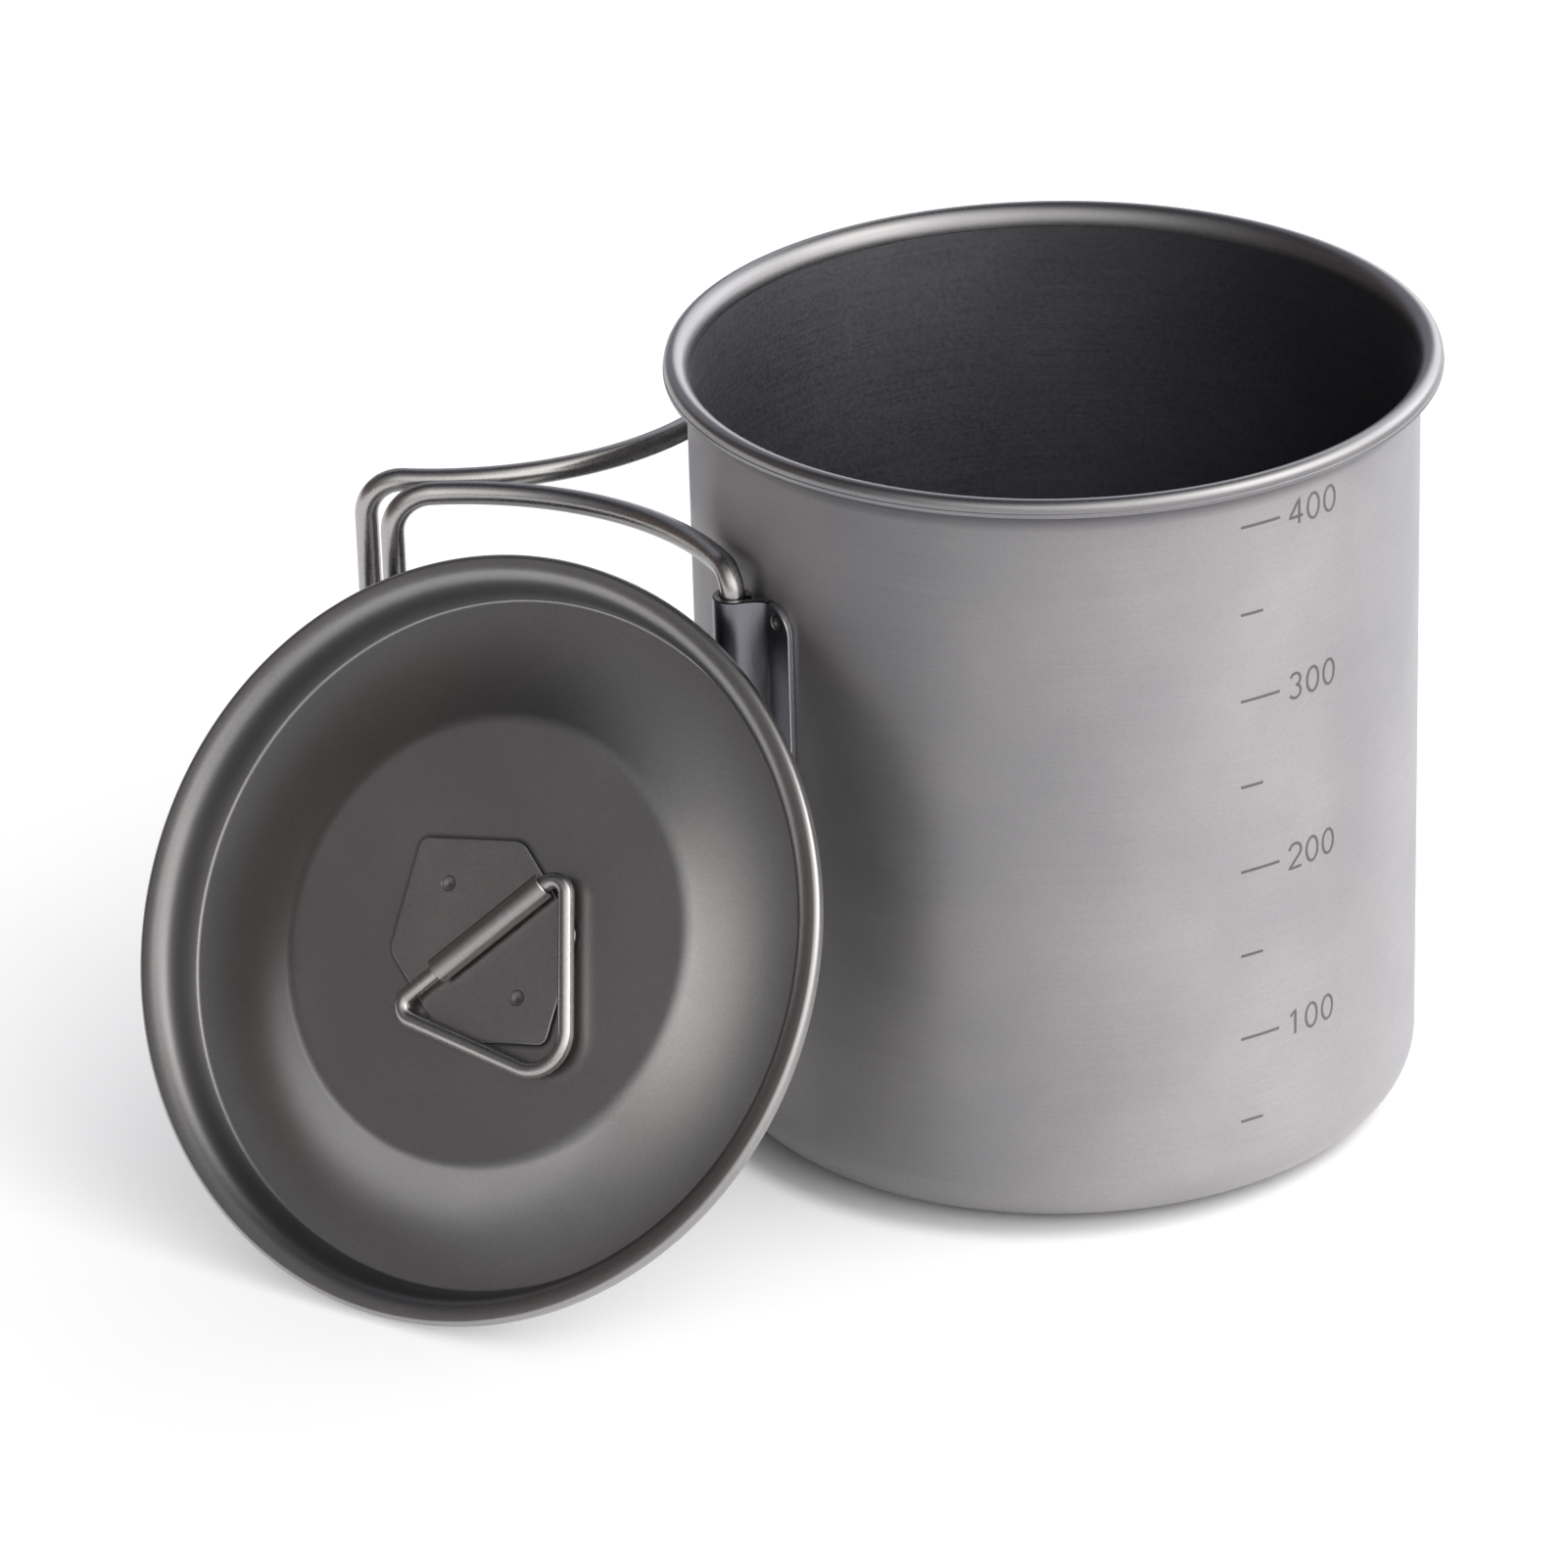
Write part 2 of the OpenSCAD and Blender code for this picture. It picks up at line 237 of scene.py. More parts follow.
def add_object(name: str, data: bpy.types.ID) -> bpy.types.Object:
    """Adds an object to the scene.

    Args:
        name: the object's name.
        data: the mesh, lamp or camera that it shows.

    Returns:
        The object.
    """
    made = bpy.data.objects.new(name, data)
    bpy.context.scene.collection.objects.link(made)
    return made


@dataclass
class MeshDraft:
    """Points, faces and surface map of a piece, in millimetres, before it becomes a mesh."""

    points: list[Point3] = field(default_factory=list)
    faces: list[tuple[int, ...]] = field(default_factory=list)
    maps: list[tuple[Point2, ...]] = field(default_factory=list)
    wear: list[float] = field(default_factory=list)

    def point(self, place: Sequence[float], wear: float = 0.0) -> int:
        """Adds a point.

        Args:
            place: where it is.
            wear: how rubbed the surface is there, to 1, or how deep the painted shade is there, to -1.

        Returns:
            The point's number.
        """
        self.points.append((place[0], place[1], place[2]))
        self.wear.append(wear)
        return len(self.points) - 1

    def face(self, corners: Sequence[int], spots: Sequence[Point2] | None = None) -> None:
        """Adds a face, unless its corners fall together.

        Args:
            corners: the numbers of its points.
            spots: the corners' places on the surface map, or none for their own x and y.
        """
        spots = spots or [(self.points[c][0], self.points[c][1]) for c in corners]
        kept = [(c, s) for k, (c, s) in enumerate(zip(corners, spots)) if c != corners[k - 1]]
        if len(kept) > 2:
            self.faces.append(tuple(c for c, _ in kept))
            self.maps.append(tuple(s for _, s in kept))

    def grid(self, rows: Rows, spots: Charts | None = None) -> None:
        """Fills the quads between neighbouring rows of points.

        Args:
            rows: the points' numbers, row by row.
            spots: the points' places on the surface map, or none for their own x and y.
        """
        for r in range(len(rows) - 1):
            for c in range(len(rows[r]) - 1):
                quad = ((r, c), (r, c + 1), (r + 1, c + 1), (r + 1, c))
                self.face([rows[i][j] for i, j in quad], spots and [spots[i][j] for i, j in quad])

    def sheet(self, outer: Rows, inner: Rows, spots: Charts) -> None:
        """Closes a bent sheet on all sides.

        Args:
            outer: rows of points on its outer face.
            inner: the same rows on its inner face.
            spots: the rows' places on the surface map.
        """
        self.grid(outer, spots)
        self.grid([row[::-1] for row in inner], [row[::-1] for row in spots])
        for end in (0, -1):
            self.grid([outer[end], inner[end]], [spots[end]] * 2)
            rims = [[row[end] for row in face] for face in (outer, inner)]
            self.grid(rims, [[row[end] for row in spots]] * 2)

    def fill(self, loops: Rows) -> None:
        """Fills a flat face that has holes.

        Args:
            loops: the numbers of the points round its rim and round each hole.
        """
        flat = bmesh.new()
        numbers = {}
        for loop in loops:
            made = [flat.verts.new(self.points[i]) for i in loop]
            numbers.update(zip(made, loop))
            for k, spot in enumerate(made):
                flat.edges.new((made[k - 1], spot))
        edges = flat.edges[:]
        bmesh.ops.triangle_fill(flat, use_beauty=True, use_dissolve=False, edges=edges, normal=(0, 0, 1))
        for face in flat.faces:
            self.face([numbers[v] for v in face.verts])
        flat.free()

    def join(self, other: MeshDraft, move: Callable[[Point3], Sequence[float]]) -> None:
        """Adds another draft's faces.

        Args:
            other: the other draft.
            move: gives the place that each of its points moves to.
        """
        first = len(self.points)
        self.points.extend((p[0], p[1], p[2]) for p in (move(q) for q in other.points))
        self.faces.extend(tuple(first + c for c in f) for f in other.faces)
        self.maps.extend(other.maps)
        self.wear.extend(other.wear)

    def moved(self, matrix: Matrix) -> MeshDraft:
        """The same piece in the pot's frame, where the matrix, in metres, places the draft's own frame."""
        points = [tuple((matrix @ (Vector(p) * MM)) / MM) for p in self.points]
        return MeshDraft(points, self.faces, self.maps, self.wear)

    def mirrored(self) -> MeshDraft:
        """The piece's twin on the other side of the handles' middle plane.

        Returns:
            A new draft, with its faces still turned out.
        """
        return MeshDraft(
            [(x, -y, z) for x, y, z in self.points],
            [tuple(reversed(f)) for f in self.faces],
            [tuple(reversed(m)) for m in self.maps],
            list(self.wear),
        )

    def build(self, name: str) -> bpy.types.Object:
        """Turns the draft into an object in metres.

        Args:
            name: the object's name.

        Returns:
            The object, linked to the scene, smooth across gentle bends only.
        """
        mesh = bpy.data.meshes.new(name)
        mesh.from_pydata([tuple(v * MM for v in p) for p in self.points], [], self.faces)
        flat = [v * MM for spots in self.maps for spot in spots for v in spot]
        mesh.uv_layers.new(name=SURFACE_MAP).data.foreach_set("uv", flat)
        mesh.attributes.new(WEAR_AND_SHADE, "FLOAT", "POINT").data.foreach_set("value", self.wear)
        shape = bmesh.new()
        shape.from_mesh(mesh)
        bmesh.ops.recalc_face_normals(shape, faces=shape.faces)
        shape.to_mesh(mesh)
        shape.free()
        mesh.shade_smooth()
        mesh.set_sharp_from_angle(angle=SMOOTH_BELOW)
        return add_object(name, mesh)


def lathe(section: Sequence[Point2], wear: Callable[[float, float], float], turns: int = 256) -> MeshDraft:
    """Spins a section about Z.

    Args:
        section: (radius, height) points; points on the axis become single points.
        wear: gives how rubbed the surface is, to 1, or how deep its painted shade is, to -1, at a radius and
            height.
        turns: number of steps round the axis.

    Returns:
        The spun piece; its map runs round the axis in u and along the section in v.
    """
    draft = MeshDraft()
    span = max(r for r, _ in section) * math.tau
    rows, spots, along = [], [], 0.0
    for k, (r, z) in enumerate(section):
        along += math.dist(section[k - 1], section[k]) if k else 0.0
        rub = wear(r, z)
        if r < TINY:
            ring = [draft.point((0, 0, z), rub)] * turns
        else:
            ring = [draft.point((x, y, z), rub) for x, y in circle(r, turns)]
        rows.append(ring + ring[:1])
        spots.append([(span * t / turns, along) for t in range(turns + 1)])
    draft.grid(rows, spots)
    return draft


def wire(path: Sequence[Vector], radius: float, closed: bool, ring: int = 28) -> MeshDraft:
    """Runs a round wire along a path.

    Args:
        path: the wire's middle line.
        radius: the wire's radius.
        closed: whether the end joins the start.
        ring: number of steps round the wire.

    Returns:
        The wire; an open one has softly broken flat ends.
    """
    draft = MeshDraft()
    count = len(path)
    stops = [(k, radius, 0.0) for k in range(count)]
    if not closed:
        tip, end = radius * (1 - WIRE_BREAK), radius * WIRE_BREAK
        stops = [(0, tip, -end), *stops, (count - 1, tip, end)]
    headings, frames, side = [], [], Vector()
    for k in range(count):
        near = (k - 1, (k + 1) % count) if closed else (max(0, k - 1), min(count - 1, k + 1))
        ahead = (path[near[1]] - path[near[0]]).normalized()
        side = side if k else ahead.orthogonal().normalized()
        side = (side - ahead * side.dot(ahead)).normalized()
        headings.append(ahead)
        frames.append((side.copy(), ahead.cross(side)))
    rows, spots, along, last = [], [], 0.0, 0
    for k, r, shift in stops:
        along += (path[k] - path[last]).length
        last = k
        a, b = frames[k]
        centre = path[k] + headings[k] * shift
        row = [draft.point(centre + a * x + b * y) for x, y in circle(r, ring)]
        rows.append(row + row[:1])
        spots.append([(math.tau * radius * t / ring, along + shift) for t in range(ring + 1)])
    if closed:
        seam = Vector(draft.points[rows[-1][0]])
        twist = min(range(ring), key=lambda t: (seam - Vector(draft.points[rows[0][t]])).length)
        first = [rows[0][(t + twist) % ring] for t in range(ring)]
        rows.append(first + first[:1])
        end = along + (path[0] - path[-1]).length
        spots.append([(u, end) for u, _ in spots[0]])
    else:
        draft.face(rows[0][-2::-1], [(0.0, 0.0)] * ring)
        draft.face(rows[-1][:-1], [(0.0, along)] * ring)
    draft.grid(rows, spots)
    return draft


def weld_button(radius: float, rim: float, dip: float, foot: float, rub: float, turns: int) -> MeshDraft:
    """A spot weld's nugget, a small round button with a hollow top; the sheet's face is at z = 0.

    Args:
        radius: the nugget's radius.
        rim: how far its rim lies below the sheet's face.
        dip: how deep it is hollowed below the rim.
        foot: how far its foot lies below the sheet's face.
        rub: how rubbed it is, to 1, or how deep its painted shade is, to -1.
        turns: number of steps round it.

    Returns:
        The button.
    """
    shares = [k / WELD_CHORDS for k in range(WELD_CHORDS + 1)]
    dish = [(radius * s, -rim - dip * math.cos(s * math.pi / 2) ** 2) for s in shares]
    return lathe([*dish, (radius, -foot), (0.0, -foot)], lambda r, z: rub, turns)


# Finishes -----------------------------------------------------------------------------------------------


def linear(hex_colour: str) -> tuple[float, float, float, float]:
    """Turns an sRGB colour to a linear one.

    Args:
        hex_colour: the colour, such as #b4b0ae.

    Returns:
        Linear red, green and blue, with full alpha.
    """
    channels = [int(hex_colour[k : k + 2], 16) / 255 for k in (1, 3, 5)]
    r, g, b = (c / 12.92 if c <= 0.04045 else ((c + 0.055) / 1.055) ** 2.4 for c in channels)
    return r, g, b, 1.0


def fresh_tree(owner: bpy.types.Material | bpy.types.World) -> Tree:
    """Turns on the nodes of a material or a world.

    Args:
        owner: the material or world.

    Returns:
        Its node tree, emptied.
    """
    owner.use_nodes = True
    owner.node_tree.nodes.clear()
    return owner.node_tree


def add_node(
    tree: Tree, kind: str, inputs: dict[str | int, Any] | None = None, **settings: Any
) -> bpy.types.Node:
    """Adds one node to a tree.

    Args:
        tree: the node tree.
        kind: Blender's name of the node type.
        inputs: values, or other nodes' output sockets, by input name or number.
        settings: the node's own settings.

    Returns:
        The new node.
    """
    node = tree.nodes.new(kind)
    for name, value in settings.items():
        setattr(node, name, value)
    for key, value in (inputs or {}).items():
        if isinstance(value, Socket):
            tree.links.new(value, node.inputs[key])
        else:
            node.inputs[key].default_value = value
    return node


@dataclass(frozen=True)
class TitaniumFinish:
    """Bare commercially pure titanium, with the marks that its last working step leaves."""

    name: str
    tone: str
    shade: str
    bright: str
    roughness: float
    grain_mm: float
    grain_depth_mm: float
    rough_spread: float = 0.04
    anisotropy: float = 0.0
    mark_run: Along = Along.NONE
    mark_pitch_mm: float = 0.2
    mark_length_mm: float = 12.0
    mark_depth_mm: float = 0.0
    cloud_mm: float = 22.0
    # The dark tone that painted shade mixes the colour toward
    dull: str = "#4c4b50"

    # The detail and roughness of each noise, and the part of its swing that shows
    CLOUD_NOISE: ClassVar[Point2] = (3.0, 0.55)
    CLOUD_SWING: ClassVar[Point2] = (0.3, 0.7)
    GRAIN_NOISE: ClassVar[Point2] = (2.0, 0.6)
    SPECKLE_SWING: ClassVar[Point2] = (0.25, 0.75)
    ROUGH_SWING: ClassVar[Point2] = (0.2, 0.8)
    MARK_NOISE: ClassVar[Point2] = (2.0, 0.7)
    MARK_SWING: ClassVar[Point2] = (0.3, 0.7)
    # What the grain does to the colour, and the marks and rubbing to the roughness
    SPECKLE: ClassVar[Point2] = (0.92, 1.06)
    MARK_ROUGH: ClassVar[float] = 0.04
    RUB_ROUGH: ClassVar[float] = -0.12
    # A quarter turn, so that the light stretches across the rings of the lathe
    STRETCH_TURN: ClassVar[float] = 0.25

    def colour(self, tree: Tree, cloud: Socket, grain: Socket, rubbed_and_shaded: Socket) -> Socket:
        """Adds the nodes of the metal's colour.

        Args:
            tree: the material's node tree.
            cloud: the slow noise.
            grain: the fine noise.
            rubbed_and_shaded: how rubbed the surface is, or, below 0, how deep its painted shade is.

        Returns:
            The colour: clouded, speckled, darkened by painted shade where the value is below 0 and bright
                where it is rubbed.
        """
        clouds, speckle, painted_shade = (
            add_node(
                tree,
                "ShaderNodeMapRange",
                {"Value": value, "From Min": low, "From Max": high, "To Min": first, "To Max": last},
                interpolation_type=way,
            ).outputs["Result"]
            for value, (low, high), (first, last), way in (
                (cloud, self.CLOUD_SWING, (0.0, 1.0), "SMOOTHSTEP"),
                (grain, self.SPECKLE_SWING, self.SPECKLE, "LINEAR"),
                (rubbed_and_shaded, (-1.0, 0.0), (1.0, 0.0), "LINEAR"),
            )
        )
        colour: Any = linear(self.shade)
        for share, tint, way in (
            (clouds, linear(self.tone), "MIX"),
            (1.0, speckle, "MULTIPLY"),
            # Painted shade: where the value is below 0, the colour mixes toward the dark tone
            (painted_shade, linear(self.dull), "MIX"),
            (rubbed_and_shaded, linear(self.bright), "MIX"),
        ):
            mixed = add_node(
                tree, "ShaderNodeMix", {0: share, 6: colour, 7: tint}, data_type="RGBA", blend_type=way
            )
            colour = mixed.outputs[2]
        return colour

    def relief(self, tree: Tree, grain: Socket) -> tuple[Socket, Socket]:
        """Adds the nodes of the grain and the tool marks.

        Args:
            tree: the material's node tree.
            grain: the fine noise.

        Returns:
            The roughness, and the normal that the relief gives.
        """
        rough = add_node(
            tree,
            "ShaderNodeMapRange",
            {
                "Value": grain,
                "From Min": self.ROUGH_SWING[0],
                "From Max": self.ROUGH_SWING[1],
                "To Min": self.roughness - self.rough_spread,
                "To Max": self.roughness + self.rough_spread,
            },
        )
        height = add_node(
            tree,
            "ShaderNodeBump",
            {"Height": grain, "Strength": 1.0, "Distance": self.grain_depth_mm * MM},
        )
        if self.mark_run is Along.NONE:
            return rough.outputs["Result"], height.outputs["Normal"]
        chart = add_node(tree, "ShaderNodeUVMap", uv_map=SURFACE_MAP)
        across, run = 1 / (self.mark_pitch_mm * MM), 1 / (self.mark_length_mm * MM)
        scale = (run, across, 1.0) if self.mark_run is Along.ROUND else (across, run, 1.0)
        stretched = add_node(tree, "ShaderNodeMapping", {"Vector": chart.outputs["UV"], "Scale": scale})
        detail, roughness = self.MARK_NOISE
        marks = add_node(
            tree,
            "ShaderNodeTexNoise",
            {"Vector": stretched.outputs["Vector"], "Scale": 1.0, "Detail": detail, "Roughness": roughness},
        )
        marked = add_node(
            tree,
            "ShaderNodeBump",
            {
                "Height": marks.outputs["Fac"],
                "Normal": height.outputs["Normal"],
                "Strength": 1.0,
                "Distance": self.mark_depth_mm * MM,
            },
        )
        lines = add_node(
            tree,
            "ShaderNodeMapRange",
            {
                "Value": marks.outputs["Fac"],
                "From Min": self.MARK_SWING[0],
                "From Max": self.MARK_SWING[1],
                "To Min": -self.MARK_ROUGH,
                "To Max": self.MARK_ROUGH,
            },
        )
        both = {0: rough.outputs["Result"], 1: lines.outputs["Result"]}
        scored = add_node(tree, "ShaderNodeMath", both, operation="ADD")
        return scored.outputs[0], marked.outputs["Normal"]

    def build(self) -> bpy.types.Material:
        """Makes the node material.

        Returns:
            A metal whose colour clouds slowly, whose grain and tool marks stand in the bump and the gloss,
            whose rubbed edges are brighter and smoother, and which is painted darker and rougher where
            painted shade is set.
        """
        material = bpy.data.materials.new(self.name)
        tree = fresh_tree(material)
        place = add_node(tree, "ShaderNodeTexCoord").outputs["Object"]
        cloud, grain = (
            add_node(
                tree,
                "ShaderNodeTexNoise",
                {"Vector": place, "Scale": 1 / (size * MM), "Detail": detail, "Roughness": roughness},
            ).outputs["Fac"]
            for size, (detail, roughness) in (
                (self.cloud_mm, self.CLOUD_NOISE),
                (self.grain_mm, self.GRAIN_NOISE),
            )
        )
        rubbed_and_shaded = add_node(tree, "ShaderNodeAttribute", attribute_name=WEAR_AND_SHADE).outputs["Fac"]
        rough, normal = self.relief(tree, grain)
        polished = add_node(
            tree, "ShaderNodeMath", {0: rubbed_and_shaded, 1: self.RUB_ROUGH, 2: rough}, operation="MULTIPLY_ADD"
        )
        shader = add_node(
            tree,
            "ShaderNodeBsdfPrincipled",
            {
                "Base Color": self.colour(tree, cloud, grain, rubbed_and_shaded),
                "Metallic": 1.0,
                "Roughness": polished.outputs[0],
                "Anisotropic": self.anisotropy,
                "Anisotropic Rotation": self.STRETCH_TURN,
                "Normal": normal,
            },
        )
        if self.anisotropy > 0:
            around = add_node(tree, "ShaderNodeTangent", direction_type="RADIAL", axis="Z")
            tree.links.new(around.outputs["Tangent"], shader.inputs["Tangent"])
        add_node(tree, "ShaderNodeOutputMaterial", {"Surface": shader.outputs["BSDF"]})
        return material


class Finishes:
    """The titanium finishes of the pot, made once each."""

    # Deep-drawn titanium, turned on a lathe with abrasive cloth: fine rings that stretch reflections up and
    # down. Real rings are a few hundredths of a millimetre apart; here they are 0.22 mm apart, so they show.
    DRAWN = TitaniumFinish(
        "drawn_titanium_turned",
        tone="#aba9aa", shade="#a1a0a2", bright="#d0cfcf",
        roughness=0.58, anisotropy=0.85, grain_mm=0.35, grain_depth_mm=0.0015,
        mark_run=Along.ROUND, mark_pitch_mm=0.22, mark_length_mm=24.0, mark_depth_mm=0.0022,
    )
    # The flared and curled lip, dulled by the curling roller: an even satin grey, its light not stretched.
    LIP = TitaniumFinish(
        "curled_titanium_satin",
        tone="#8e8d8e", shade="#848385", bright="#a5a4a3",
        roughness=0.38, grain_mm=0.35, grain_depth_mm=0.0004,
        mark_run=Along.ROUND, mark_pitch_mm=0.25, mark_length_mm=16.0, mark_depth_mm=0.0003,
    )
    # The drawn inside: a darker grey with slow clouds, which paints the shade of the pot's hollow.
    INSIDE = TitaniumFinish(
        "drawn_titanium_inside_shaded",
        tone="#6d6c71", shade="#67666b", bright="#b4b3b4",
        roughness=0.52, rough_spread=0.06, anisotropy=0.5, grain_mm=0.5, grain_depth_mm=0.003,
        mark_run=Along.ROUND, mark_pitch_mm=0.3, mark_length_mm=18.0, mark_depth_mm=0.002,
        cloud_mm=14.0,
    )
    # Pressed titanium, blasted with fine glass bead: an even matt grain with a slight sparkle.
    BLASTED = TitaniumFinish(
        "pressed_titanium_bead_blasted",
        tone="#9a9998", shade="#91908f", bright="#cfcecc",
        roughness=0.34, rough_spread=0.03, grain_mm=0.32, grain_depth_mm=0.0016,
    )
    # Stamped titanium plate, tumbled smooth: close to the lid's own grey; the dark line at the plate's foot
    # is painted shadow.
    STAMPED = TitaniumFinish(
        "stamped_titanium_tumbled",
        tone="#a4a2a1", shade="#9b9998", bright="#d4d2d0",
        roughness=0.32, grain_mm=0.45, grain_depth_mm=0.0008,
    )
    # Cold-rolled titanium strip, bent to a bracket: satin with short rolling marks along the strip.
    ROLLED = TitaniumFinish(
        "rolled_titanium_strip",
        tone="#807f85", shade="#76757b", bright="#bdbcbe",
        roughness=0.33, grain_mm=0.4, grain_depth_mm=0.0012,
        mark_run=Along.LENGTH, mark_pitch_mm=0.25, mark_length_mm=9.0, mark_depth_mm=0.002,
    )
    # Drawn titanium wire, bent cold: smoother than the sheet, with fine die lines along its length.
    WIRE = TitaniumFinish(
        "drawn_titanium_wire",
        tone="#b0aeac", shade="#a4a2a1", bright="#d2d0cf",
        roughness=0.28, rough_spread=0.02, grain_mm=0.4, grain_depth_mm=0.0002,
        mark_run=Along.LENGTH, mark_pitch_mm=0.3, mark_length_mm=14.0, mark_depth_mm=0.0004,
    )
    # A resistance spot weld: the nugget is darker than the sheet and slightly straw coloured from its heat.
    WELD = TitaniumFinish(
        "spot_weld_nugget",
        tone="#8f8a86", shade="#7e7a77", bright="#aca8a3",
        roughness=0.34, rough_spread=0.05, grain_mm=0.25, grain_depth_mm=0.004, cloud_mm=1.2,
    )
    # Laser marking: a matt grey oxide that scatters instead of shining.
    MARK = TitaniumFinish(
        "laser_marked_titanium",
        tone="#7b7877", shade="#737070", bright="#8a8786",
        roughness=0.62, grain_mm=0.3, grain_depth_mm=0.002,
    )

    def __init__(self) -> None:
        """Starts with no finish made."""
        self._made: dict[str, bpy.types.Material] = {}

    def get(self, finish: TitaniumFinish) -> bpy.types.Material:
        """The material of a finish.

        Args:
            finish: the finish.

        Returns:
            Its material, made on first use.
        """
        if finish.name not in self._made:
            self._made[finish.name] = finish.build()
        return self._made[finish.name]


# The pot and its pieces ---------------------------------------------------------------------------------


@dataclass
class SubAssembly:
    """A named part of the pot that makes pieces and hangs each on its body."""

    finishes: Finishes

    def place(
        self,
        draft: MeshDraft,
        name: str,
        finish: TitaniumFinish,
        body: str,
        slot: str,
        nodes: Sequence[str] = (),
        matrix: Matrix | None = None,
    ) -> bpy.types.Object:
        """Builds a piece, gives it its finish and lets it ride on a body.

        Args:
            draft: the piece's mesh draft.
            name: the piece's name.
            finish: its finish.
            body: the body that it moves with.
            slot: the record's material slot; not used.
            nodes: the solids that it stands for.
            matrix: where the draft's frame sits, if not at the origin.

        Returns:
            The piece.
        """
        piece = (draft if matrix is None else draft.moved(matrix)).build(name)
        piece.data.materials.append(self.finishes.get(finish))
        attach(piece, body)
        if nodes:
            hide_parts(*nodes)
        LOG.info("%s: %d faces on %s", name, len(piece.data.polygons), body)
        return piece


@dataclass(frozen=True)
class HandlePivot:
    """The upright line that the front handle's pins turn on; the rear one is its mirror image."""

    radius: float = 42.48
    degrees: float = 32.6
    middle_z: float = 48.1

    def place(self) -> Point3:
        """The line's middle."""
        turn = math.radians(self.degrees)
        return -self.radius * math.cos(turn), -self.radius * math.sin(turn), self.middle_z


